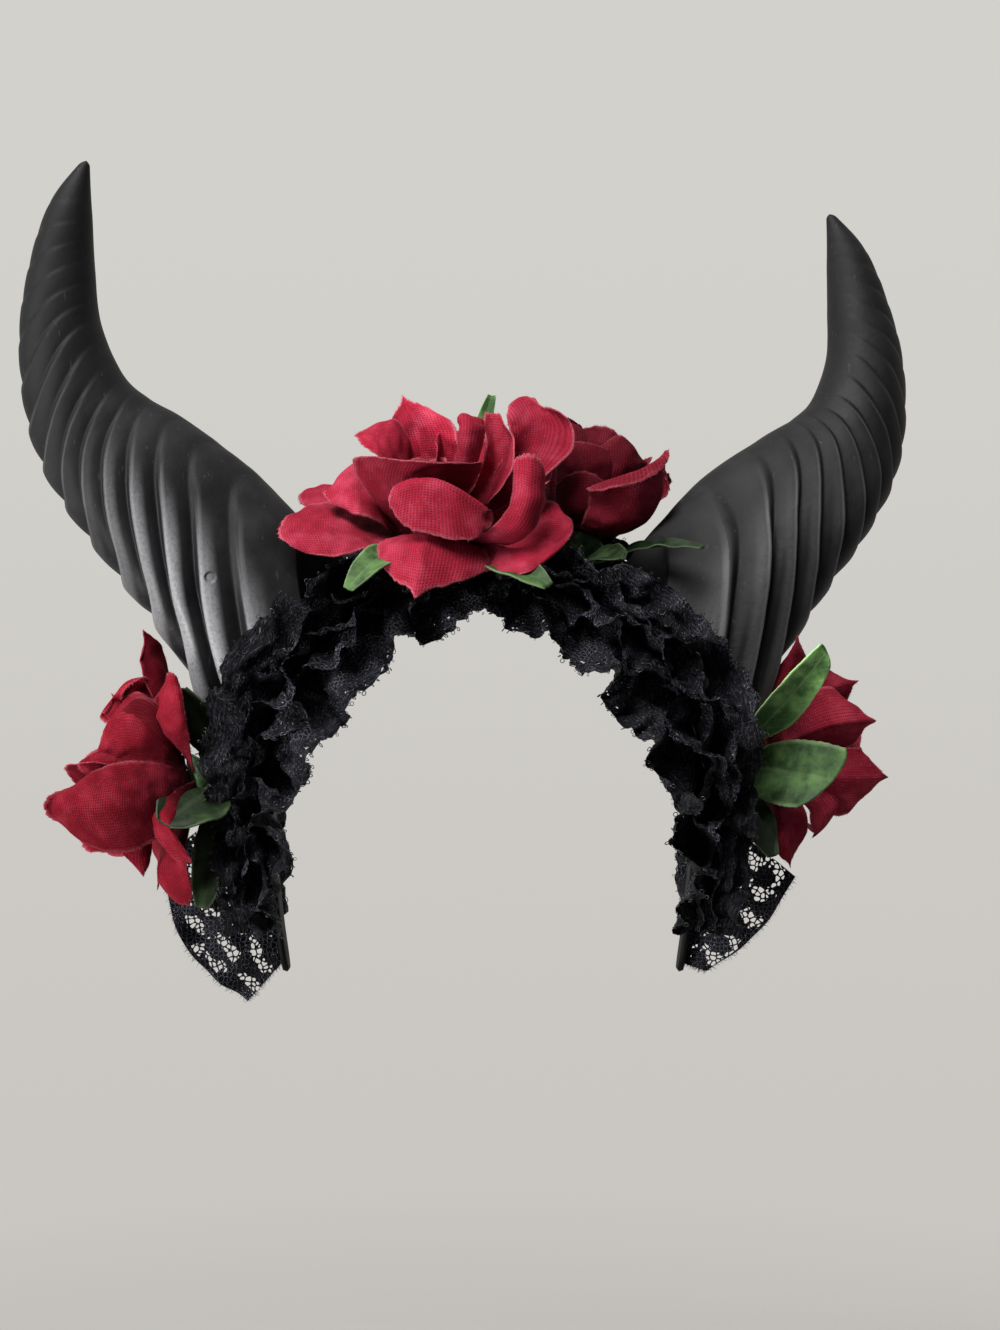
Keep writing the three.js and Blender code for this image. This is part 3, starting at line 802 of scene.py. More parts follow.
@dataclass(frozen=True)
class StemFinish(Finish):
    """Moulded green plastic of the calyxes."""

    body: Colour = tone(38, 66, 34)
    pale: Colour = tone(82, 112, 66)
    mottle_pitch: float = 4.0
    mottles: Span = (0.4, 0.75)
    gloss_mottles: Span = (0.3, 0.7)
    roughness: Span = (0.4, 0.6)
    grain_pitch: float = 1.0
    grain_bump: Span = (0.2, 0.2)

    def looks(self, sketch: Sketch) -> dict[str, object]:
        """What goes into each of the shader's inputs."""
        mottle = sketch.grain(self.mottle_pitch)
        return {
            "Base Color": sketch.blend(sketch.ease(mottle, self.mottles), self.body, self.pale),
            "Roughness": sketch.ease(mottle, self.gloss_mottles, self.roughness),
            "Normal": sketch.relief((sketch.grain(self.grain_pitch), self.grain_bump)),
        }


@dataclass(frozen=True)
class FloorFinish(Finish):
    """Plain pale matt floor that runs out softly into the room, its span in metres."""

    body: Colour = tone(166, 165, 162)
    fades: Span = (0.2, 0.75)

    def looks(self, sketch: Sketch) -> dict[str, object]:
        """What goes into each of the shader's inputs."""
        level = sketch.vector("MULTIPLY", sketch.place(), (1.0, 1.0, 0.0))
        return {
            "Base Color": self.body,
            "Roughness": 1.0,
            "Alpha": sketch.ease(sketch.vector("LENGTH", level), self.fades, FALLING),
            "Specular IOR Level": 0.0,
        }


HORN_BLACK = HornFinish("horn black")
BAND_BLACK = BandFinish("band black")
LACE_BLACK = LaceFinish("lace black")
CORD_BLACK = ThreadFinish("lace cord black", tone(14, 14, 16), tone(46, 46, 50), 0.28)
STITCH_BLACK = ThreadFinish("stitch black", tone(4, 4, 5), tone(11, 11, 12), 0.75)
# The first colour of each petal finish is its painted shade at the roots.
PETAL_RED = PetalFinish(
    "petal red", tone(66, 6, 17), tone(146, 30, 50), tone(172, 56, 78), tone(196, 108, 124)
)
PETAL_DEEP = PetalFinish(
    "petal deep red", tone(50, 3, 11), tone(116, 16, 31), tone(144, 36, 52), tone(176, 84, 98)
)
PETAL_WINE = PetalFinish(
    "petal wine", tone(28, 2, 7), tone(90, 16, 28), tone(118, 34, 47), tone(154, 74, 86)
)
FRAY_RED = ThreadFinish("frayed red", tone(160, 36, 56), tone(190, 92, 106), 0.8)
FRAY_WINE = ThreadFinish("frayed wine", tone(100, 22, 36), tone(146, 66, 78), 0.8)
LEAF_GREEN = LeafFinish("leaf green")
CALYX_GREEN = StemFinish("calyx green")
PALE_FLOOR = FloorFinish("pale floor")


# Node trees that grow what repeats


class NodeTree:
    """A geometry tree with named inputs, the last of them its finish."""

    def __init__(self, name: str, sizes: dict[str, str]) -> None:
        """Starts a tree.

        Args:
            name: The tree's name.
            sizes: The kind of each input between the mesh and the finish.
        """
        self.tree = bpy.data.node_groups.new(name, "GeometryNodeTree")
        face = self.tree.interface
        kinds = {"Mesh": "Geometry"} | sizes | {"Finish": "Material"}
        self.sockets = {
            label: face.new_socket(label, in_out="INPUT", socket_type=f"NodeSocket{kind}")
            for label, kind in kinds.items()
        }
        face.new_socket("Mesh", in_out="OUTPUT", socket_type="NodeSocketGeometry")
        self.sketch = Sketch(self.tree)
        self.given = self.sketch.node("NodeGroupInput").outputs

    def close(self, geometry: Socket) -> None:
        """Ends the tree in plain smooth mesh with its finish."""
        real = self.sketch.node("GeometryNodeRealizeInstances", {"Geometry": geometry}).outputs[0]
        even = self.sketch.node("GeometryNodeSetShadeSmooth", {"Geometry": real}).outputs[0]
        coat = {"Geometry": even, "Material": self.given["Finish"]}
        self.sketch.node("NodeGroupOutput", {0: self.sketch.node("GeometryNodeSetMaterial", coat).outputs[0]})

    def grow(self, piece: bpy.types.Object, finish: Finish, values: dict[str, object]) -> None:
        """Runs the tree on an object and keeps the result as its plain mesh.

        Args:
            piece: The object that the tree starts from.
            finish: What the result is finished in.
            values: A value for each other input.
        """
        modifier = piece.modifiers.new(self.tree.name, "NODES")
        modifier.node_group = self.tree
        for label, value in (values | {"Finish": finish.material()}).items():
            modifier[self.sockets[label].identifier] = value
        graph = bpy.context.evaluated_depsgraph_get()
        mesh = bpy.data.meshes.new_from_object(
            piece.evaluated_get(graph), preserve_all_data_layers=True, depsgraph=graph
        )
        piece.modifiers.remove(modifier)
        start = piece.data
        piece.data = mesh
        bpy.data.meshes.remove(start)


class RibTree(NodeTree):
    """Raises ribs on a horn's skin: each swells plumply to a lip and steps in again."""

    def __init__(self) -> None:
        """Builds the tree."""
        super().__init__("horn ribs", {})
        sketch = self.sketch
        crest = sketch.named("crest")
        within = sketch.sum("FRACT", sketch.named("rib"))
        share = sketch.sum("MINIMUM", sketch.sum("DIVIDE", within, crest), 1.0)
        short = sketch.sum("SUBTRACT", 1.0, share)
        rise = sketch.sum("SUBTRACT", 1.0, sketch.times(short, short))
        raised = sketch.sum("MINIMUM", rise, sketch.ease(within, (crest, 1.0), FALLING))
        normal = sketch.node("GeometryNodeInputNormal").outputs[0]
        offset = sketch.vector("SCALE", normal, sketch.times(raised, sketch.named("stand")))
        moved = sketch.node("GeometryNodeSetPosition", {"Geometry": self.given["Mesh"], "Offset": offset})
        rib_rise = {"Geometry": moved.outputs[0], "Name": "rib_rise", "Value": raised}
        stored = sketch.node("GeometryNodeStoreNamedAttribute", rib_rise, data_type="FLOAT", domain="POINT")
        self.close(stored.outputs[0])


class Sprout(Enum):
    """What stands at each point of a rim."""

    FIBRE = "fibre"
    LOOP = "loop"
    STITCH = "stitch"


@dataclass(frozen=True)
class Thread:
    """A small thread shape: its length and thickness in millimetres, and how far it strays from its aim."""

    length: float
    thickness: float
    spread: float


HEM_LOOP = Thread(1.3, 0.16, 0.8)
GATHER_STITCH = Thread(2.6, 0.28, 0.1)
LACE_FRAY = Thread(1.8, 0.12, 0.8)
PETAL_FRAY = Thread(0.8, 0.07, 0.7)


class SproutTree(NodeTree):
    """Sets one small thread shape on every point of a rim, along the point's own aim."""

    sizes = (0.55, 1.3)
    fibre_sides = 3
    loop_steps = 8
    stitch_sides = 6
    stitch_rings = 4

    def __init__(self, shape: Sprout) -> None:
        """Builds the tree for one shape."""
        inputs = {"Length": "Float", "Thickness": "Float", "Spread": "Float", "Seed": "Int"}
        super().__init__(f"{shape.value} rim", inputs)
        sketch, seed = self.sketch, self.given["Seed"]
        stray = sketch.chance((-1.0, -1.0, -1.0), (1.0, 1.0, 1.0), seed)
        stray = sketch.vector("SCALE", stray, self.given["Spread"])
        way = sketch.vector("ADD", sketch.named("aim", "FLOAT_VECTOR"), stray)
        turned = sketch.node("FunctionNodeAlignRotationToVector", {"Vector": way}, axis="Z")
        placed = sketch.node("GeometryNodeInstanceOnPoints", {
            "Points": self.given["Mesh"],
            "Instance": self._shape(shape),
            "Rotation": turned.outputs[0],
            "Scale": sketch.chance(*self.sizes, seed),
        })
        self.close(placed.outputs[0])

    def _shape(self, shape: Sprout) -> Socket:
        """The mesh that is repeated, standing along Z from the point."""
        sketch = self.sketch
        length, thickness = self.given["Length"], self.given["Thickness"]
        if shape is Sprout.FIBRE:
            sizes = {"Radius Top": 0.0, "Radius Bottom": thickness, "Depth": length}
            return sketch.node("GeometryNodeMeshCone", {"Vertices": self.fibre_sides} | sizes).outputs[0]
        half = sketch.times(length, 0.5)
        if shape is Sprout.STITCH:
            inputs = {"Segments": self.stitch_sides, "Rings": self.stitch_rings, "Radius": 1.0}
            ball = sketch.node("GeometryNodeMeshUVSphere", inputs).outputs[0]
            stretch = sketch.node("ShaderNodeCombineXYZ", {0: thickness, 1: thickness, 2: half}).outputs[0]
            return sketch.node("GeometryNodeTransform", {"Geometry": ball, "Scale": stretch}).outputs[0]
        ring = sketch.thin_ring(half, thickness, self.loop_steps)
        up = sketch.node("ShaderNodeCombineXYZ", {2: half}).outputs[0]
        inputs = {"Geometry": ring, "Translation": up, "Rotation": (math.pi / 2, 0.0, 0.0)}
        return sketch.node("GeometryNodeTransform", inputs).outputs[0]

    def sprout(
        self, name: str, rim: Rim, thread: Thread, finish: Finish, slot: str, seed: int
    ) -> bpy.types.Object:
        """Makes a piece with the shape at every point of a rim, and seats it.

        Args:
            name: The piece's name.
            rim: The points in millimetres, and the ways that their shapes stand.
            thread: The shape's sizes.
            finish: What it is finished in.
            slot: The record's material slot.
            seed: Which of the patterns it is.

        Returns:
            The piece.
        """
        points, aims = rim
        mesh = bpy.data.meshes.new(name)
        mesh.from_pydata((points * MM).tolist(), [], [])
        aim = mesh.attributes.new("aim", "FLOAT_VECTOR", "POINT")
        aim.data.foreach_set("vector", unit(aims).astype(np.float32).ravel())
        made = bpy.data.objects.new(name, mesh)
        bpy.context.collection.objects.link(made)
        sizes = {"Length": thread.length * MM, "Thickness": thread.thickness * MM}
        self.grow(made, finish, sizes | {"Spread": thread.spread, "Seed": seed})
        seat(made, slot)
        return made


class CordTree(NodeTree):
    """Scatters small cord rings over a lace ground, lying on it or standing a little off it."""

    tilt = 0.7
    sizes = (0.5, 1.35)
    ring_steps = 7

    def __init__(self) -> None:
        """Builds the tree."""
        inputs = {"Ring": "Float", "Thickness": "Float", "Apart": "Float", "Density": "Float", "Seed": "Int"}
        super().__init__("lace cord rings", inputs)
        sketch, seed = self.sketch, self.given["Seed"]
        spots = sketch.node("GeometryNodeDistributePointsOnFaces", {
            "Mesh": self.given["Mesh"],
            "Distance Min": self.given["Apart"],
            "Density Max": self.given["Density"],
            "Density Factor": sketch.named("sprig"),
            "Seed": seed,
        }, distribute_method="POISSON").outputs
        tilt = sketch.chance((-self.tilt, -self.tilt, -math.pi), (self.tilt, self.tilt, math.pi), seed)
        turn = {
            "Rotation": spots["Rotation"],
            "Rotate By": sketch.node("FunctionNodeEulerToRotation", {0: tilt}).outputs[0],
        }
        placed = sketch.node("GeometryNodeInstanceOnPoints", {
            "Points": spots["Points"],
            "Instance": sketch.thin_ring(self.given["Ring"], self.given["Thickness"], self.ring_steps),
            "Rotation": sketch.node("FunctionNodeRotateRotation", turn, rotation_space="LOCAL").outputs[0],
            "Scale": sketch.chance(*self.sizes, seed),
        })
        self.close(placed.outputs[0])


# Studio


@dataclass(frozen=True)
class Lamp:
    """A soft square lamp out of the picture."""

    name: str
    place: Place
    size: float
    power: float
    warmth: Colour = (1.0, 0.985, 0.96, 1.0)
    spread: float = math.radians(70)

    def build(self, target: Vector) -> None:
        """Hangs the lamp, turned to the target."""
        data = bpy.data.lights.new(self.name, "AREA")
        data.shape = "SQUARE"
        data.size = self.size
        data.spread = self.spread
        data.energy = self.power
        data.color = self.warmth[:3]
        made = bpy.data.objects.new(self.name, data)
        made.location = self.place
        made.rotation_euler = (target - Vector(self.place)).to_track_quat("-Z", "Y").to_euler()
        made.visible_camera = False
        bpy.context.collection.objects.link(made)


@dataclass(frozen=True)
class Studio:
    """Camera, soft light, pale room and floor."""

    image_height: float = 1330.0
    focal_pixels: float = 2337.5
    sensor: float = 36.0
    aim: Place = (6.18, 0.0, -29.1)
    distance: float = 850.0
    elevation: float = 4.0
    floor_level: float = -430.0
    floor_half: float = 800.0
    wall: Colour = tone(211, 209, 204)
    horizon: Colour = tone(202, 199, 195)
    dim_front: Colour = tone(98, 98, 101)
    wall_rise: Span = (-0.3, 0.16)
    front_fade: Span = (-0.35, 0.35)
    lamps: tuple[Lamp, ...] = (
        Lamp("high left", (-0.5, -0.75, 1.45), 1.0, 10.2),
        Lamp("left window", (-1.3, -0.75, 0.1), 0.6, 2.8),
        Lamp("low glint", (-0.48, -0.42, -0.4), 0.22, 0.7),
    )

    def build(self) -> None:
        """Sets the whole studio up."""
        target = Vector(self.aim) * MM
        self._camera(target)
        for lamp in self.lamps:
            lamp.build(target)
        self._room()
        self._floor()
        view = bpy.context.scene.view_settings
        view.view_transform = "Standard"
        view.look = "None"

    def _camera(self, target: Vector) -> None:
        """Places the camera at the photograph's angle."""
        data = bpy.data.cameras.new("camera")
        data.sensor_width = self.sensor
        data.lens = self.focal_pixels * self.sensor / self.image_height
        made = bpy.data.objects.new("camera", data)
        rise = math.radians(self.elevation)
        back = Vector((0.0, -math.cos(rise), math.sin(rise)))
        made.location = target + back * self.distance * MM
        made.rotation_euler = (-back).to_track_quat("-Z", "Y").to_euler()
        bpy.context.collection.objects.link(made)
        bpy.context.scene.camera = made

    def _room(self) -> None:
        """Fills the room with pale light, dimmer from the front, in a backdrop that is pale all round."""
        world = bpy.data.worlds.new("pale room")
        bpy.context.scene.world = world
        world.use_nodes = True
        sketch = Sketch(world.node_tree)
        way = sketch.node("ShaderNodeTexCoord").outputs["Generated"]
        split = sketch.node("ShaderNodeSeparateXYZ", {0: way}).outputs
        backdrop = sketch.blend(sketch.ease(split[2], self.wall_rise), self.horizon, self.wall)
        light = sketch.blend(sketch.ease(split[1], self.front_fade), self.dim_front, backdrop)
        seen = sketch.node("ShaderNodeLightPath").outputs["Is Camera Ray"]
        colour = world.node_tree.nodes["Background"].inputs["Color"]
        sketch.feed(colour, sketch.blend(seen, light, backdrop))

    def _floor(self) -> None:
        """Lays the floor."""
        half, level = self.floor_half, self.floor_level
        corners = [(-half, -half), (half, -half), (half, half), (-half, half)]
        points = np.array([(x, y, level) for x, y in corners], dtype=float)
        floor = Skin(points, np.array([[0, 1, 2, 3]]), points[:, :2]).to_object("floor", PALE_FLOOR)


# Band


@dataclass(frozen=True)
class Band:
    """The plain hair band: an arch with two long side curves, rounded at its edges and tips."""

    radius: float = 76.0
    side_length: float = 66.0
    side_radius: float = 400.0
    thickness: float = 2.6
    top_width: float = 22.0
    tip_width: float = 13.0
    tip_round: float = 9.0
    tip_thinning: float = 2.2
    tip_crowding: float = 0.35
    squareness: float = 0.45
    rows: int = 181
    columns: int = 24

    @property
    def quarter(self) -> float:
        """The arch's length from the top to where a side starts."""
        return self.radius * math.pi / 2

    @property
    def half(self) -> float:
        """The length from the top to a tip."""
        return self.quarter + self.side_length

    def line(self, length: Grid) -> tuple[Grid, Grid]:
        """The inside line at lengths from the top.

        Args:
            length: Lengths along the line, negative to the left.

        Returns:
            The points and the ways that point outwards.
        """
        side = np.where(length < 0, -1.0, 1.0)
        run = np.abs(length)
        on_arch = run <= self.quarter
        arch = np.minimum(run, self.quarter) / self.radius
        lower = np.maximum(run - self.quarter, 0.0) / self.side_radius
        side_x = self.radius - self.side_radius * (1 - np.cos(lower))
        side_z = -self.radius - self.side_radius * np.sin(lower)
        x = np.where(on_arch, self.radius * np.sin(arch), side_x)
        z = np.where(on_arch, self.radius * (np.cos(arch) - 1), side_z)
        out_x = np.where(on_arch, np.sin(arch), np.cos(lower))
        out_z = np.where(on_arch, np.cos(arch), -np.sin(lower))
        zero = np.zeros_like(x)
        return np.stack([side * x, zero, z], axis=-1), np.stack([side * out_x, zero, out_z], axis=-1)

    def off(self, length: Grid, height: Grid, y: Grid) -> Grid:
        """Points off the band: a height above its inside line and a place across it."""
        length, height, y = np.broadcast_arrays(*(np.asarray(v, dtype=float) for v in (length, height, y)))
        point, out = self.line(length)
        made = point + out * height[..., None]
        made[..., 1] = y
        return made

    def build(self) -> None:
        """Makes the band and seats it."""
        steps = np.linspace(-1.0, 1.0, self.rows)
        crowded = self.half * np.sin(steps * math.pi / 2)
        lengths = crowded * self.tip_crowding + self.half * steps * (1 - self.tip_crowding)
        into_tip = np.clip(1 - (self.half - np.abs(lengths)) / self.tip_round, 0.0, 1.0)
        closing = np.sqrt(1 - into_tip**2)
        width = (self.top_width + (self.tip_width - self.top_width) * np.abs(lengths) / self.half) * closing
        thin = self.thickness * np.minimum(1.0, closing * self.tip_thinning)
        round_ = np.linspace(0, FULL_TURN, self.columns, endpoint=False)
        across = np.sign(np.cos(round_)) * np.abs(np.cos(round_)) ** self.squareness
        up = np.sign(np.sin(round_)) * np.abs(np.sin(round_)) ** self.squareness
        height = self.thickness / 2 + 0.5 * thin[:, None] * up
        points = self.off(lengths[:, None], height, 0.5 * width[:, None] * across)
        flat = np.stack(np.broadcast_arrays(lengths[:, None], across * self.top_width), axis=-1)
        skin = Skin.from_grid(points, flat, {}, ring=True)
        made = skin.to_object("hair_band", BAND_BLACK, closed=True)
        seat(made, "band_black", "band")


BAND = Band()


# Horns


@dataclass(frozen=True)
class HornSection:
    """A section of the right-hand horn: its middle out, up and back, and its size across and deep."""

    out: float
    up: float
    back: float
    across: float
    deep: float


HORN_SECTIONS = (
    HornSection(28, -72, 0, 62, 40),
    HornSection(58.5, -40, 0, 70, 40),
    HornSection(86.5, -0.5, 1, 64, 42),
    HornSection(106, 21, 2, 61, 42),
    HornSection(124.5, 38.5, 3, 54.5, 41),
    HornSection(138.5, 53, 4, 45.5, 38),
    HornSection(147.5, 69, 4, 37, 34),
    HornSection(152.5, 92, 4, 29.5, 28.5),
    HornSection(151.5, 114, 3, 23.5, 23),
    HornSection(148, 135, 1.5, 15.5, 15.5),
    HornSection(142, 152, 0, 2.6, 2.6),
)


@dataclass(frozen=True)
class Horn:
    """A cast horn, ribbed in slanted steps on its lower outer side and smooth on its upper inner one.

    Spans of rows count from the foot at 0 to the tip at 1.
    Spans of sides count from the inner side at 0 to the outer side at 1.
    """

    name: str
    side: float
    lean: float
    turn: float
    tip: float
    seed: int
    # How strongly the foot is made glossy and painted with highlight streaks.
    gloss_and_highlight_strength: float = 1.0
    seat_arc: float = 78.0
    seat_gap: float = 0.3
    seat_low: float = 80.5
    slant: float = 0.2
    slant_turn: float = 0.45
    tip_round: float = 0.02
    dent_height: float = 0.35
    dent_pitch: float = 34.0
    grain_height: float = 0.12
    grain_pitch: float = 11.0
    ribs: int = 16
    rib_height: float = 0.15
    rib_crowding: float = 0.72
    rib_waver: float = 0.12
    rib_waver_pitch: float = 13.0
    rib_unevenness: float = 0.2
    rib_uneven_pitch: float = 9.0
    rib_sides: Span = (0.0, 0.85)
    foot_rows: Span = (0.45, 0.15)
    foot_gain: float = 0.45
    upper_rows: Span = (0.55, 0.8)
    upper_loss: float = 0.6
    tip_rows: Span = (1.0, 0.84)
    gloss_and_highlight_rows: Span = (0.5, 0.2)
    gloss_and_highlight_sides: Span = (0.3, 0.75)
    crest: float = 0.78
    crest_polish: float = 0.1
    girth: float = 10.0
    girths_long: float = 3.0
    flat_size: Span = (20.0, 300.0)
    rows: int = 350
    columns: int = 80

    def build(self, ribs: RibTree) -> None:
        """Makes the horn with its ribs and seats it."""
        turns = np.linspace(0, FULL_TURN, self.columns, endpoint=False)
        row, round_ = lattice(np.linspace(0.0, 1.0, self.rows), turns)
        points = self._skin(row, round_)
        dents = ripple(points, self.dent_pitch, self.seed) * self.dent_height
        grain = ripple(points, self.grain_pitch, self.seed + 1) * self.grain_height
        points = points + grid_normals(points) * ((dents + grain) * (1 - row))[..., None]
        around = np.stack([np.cos(round_), np.sin(round_), row * self.girths_long], axis=-1) * self.girth
        waver = self.rib_waver * ripple(around, self.rib_waver_pitch, self.seed + 2)
        rib = row ** (1 / self.rib_crowding) * (self.ribs + 1) + waver
        outer_side = (1 - np.cos(round_)) / 2
        stand = self._stand(row, outer_side, around)
        posed = self._posed(points)
        points = self._on_band(posed)
        stand = np.where(np.linalg.norm(points - posed, axis=-1) > self.seat_gap, 0.0, stand)
        for end in (0, -1):
            points[end] = points[end].mean(axis=0)
            stand[end] = 0.0
        flat = np.stack([round_, row], axis=-1) * np.array(self.flat_size)
        # Where the foot is glossy and painted with highlight streaks.
        gloss_and_highlight = self.gloss_and_highlight_strength * smooth(*self.gloss_and_highlight_rows, row) * smooth(*self.gloss_and_highlight_sides, outer_side)
        crest = self.crest - self.crest_polish * gloss_and_highlight
        marks = {"rib": rib, "stand": stand * MM, "gloss_and_highlight": gloss_and_highlight, "crest": crest}
        skin = Skin.from_grid(points, flat, marks, ring=True)
        horn = skin.to_object(f"{self.name}_cast", HORN_BLACK, closed=True)
        ribs.grow(horn, HORN_BLACK, {})
        seat(horn, "horn_black", self.name)

    def _stand(self, row: Grid, outer_side: Grid, around: Grid) -> Grid:
        """How far the ribs stand off the skin, in millimetres."""
        foot = 1 - self.foot_gain + self.foot_gain * smooth(*self.foot_rows, row)
        upper = 1 - self.upper_loss * smooth(*self.upper_rows, row)
        fade = foot * upper * smooth(*self.tip_rows, row)
        uneven = 1 + self.rib_unevenness * ripple(around, self.rib_uneven_pitch, self.seed + 3)
        half = 0.5 * through(HORN_SECTIONS, "across", row)
        return half * self.rib_height * smooth(*self.rib_sides, outer_side) * fade * uneven

    def _skin(self, row: Grid, round_: Grid) -> Grid:
        """Points of the plain right-hand horn, upright and without ribs."""
        place = row + self.slant * (1 - row) * np.cos(round_ + self.slant_turn)

        def centre(share: Grid) -> Grid:
            """The middle line of the horn."""
            columns = [through(HORN_SECTIONS, column, share) for column in ("out", "back", "up")]
            return np.stack(columns, axis=-1)

        step = 0.01
        tangent = unit(centre(np.minimum(place + step, 1)) - centre(np.maximum(place - step, 0)))
        back = unit(np.array([0.0, 1.0, 0.0]) - tangent * tangent[..., 1:2])
        upper = unit(np.cross(tangent, back))
        closing = np.sqrt(1 - smooth(1 - self.tip_round, 1.0, row) ** 2)
        wide = 0.5 * through(HORN_SECTIONS, "across", place) * np.cos(round_) * closing
        deep = 0.5 * through(HORN_SECTIONS, "deep", place) * np.sin(round_) * closing
        return centre(place) + upper * wide[..., None] + back * deep[..., None]

    def _posed(self, points: Grid) -> Grid:
        """The points leaned about the seat and set on their side."""
        foot = BAND.off(self.seat_arc, BAND.thickness, 0.0)
        turned = (
            Quaternion((0, 0, 1), math.radians(self.turn))
            @ Quaternion((1, 0, 0), -math.radians(self.lean))
            @ Quaternion((0, 1, 0), -math.radians(self.tip))
        )
        matrix = np.array(turned.to_matrix())
        return ((points - foot) @ matrix.T + foot) * np.array([self.side, 1.0, 1.0])

    def _on_band(self, points: Grid) -> Grid:
        """The points with those inside the arch brought out to the band, under the horn's own foot."""
        out, up = points[..., 0] * self.side, points[..., 2] + BAND.radius
        reach = np.hypot(out, up)
        least = BAND.radius + BAND.thickness + self.seat_gap
        turn = np.arctan2(out, up)
        turn = np.where(reach < least, np.minimum(turn, math.radians(self.seat_low)), turn)
        reach = np.maximum(reach, least)
        x, z = self.side * reach * np.sin(turn), reach * np.cos(turn) - BAND.radius
        return np.stack([x, points[..., 1], z], axis=-1)


HORNS = (
    Horn("horn_left", side=-1, lean=0, turn=0, tip=0, seed=11),
    Horn("horn_right", side=1, lean=18, turn=10, tip=-1, seed=23, gloss_and_highlight_strength=0.25),
)


# Lace


@dataclass(frozen=True)
class FrillRow:
    """How wide the outer and inner halves of a ruffle are at a place, and how far they lean off upright."""

    out: float
    out_lean: float
    inner: float
    inner_lean: float


FRONT_FRILL = (
    FrillRow(16, 44, 24, 56),
    FrillRow(23, 36, 28, 48),
    FrillRow(27, 26, 31, 47),
    FrillRow(20, 26, 26, 74),
    FrillRow(19, 32, 20, 86),
)
BACK_FRILL = (
    FrillRow(25, 28, 17, 80),
    FrillRow(30, 30, 18, 80),
    FrillRow(26, 42, 19, 80),
    FrillRow(20, 46, 18, 84),
    FrillRow(18, 40, 15, 86),
)


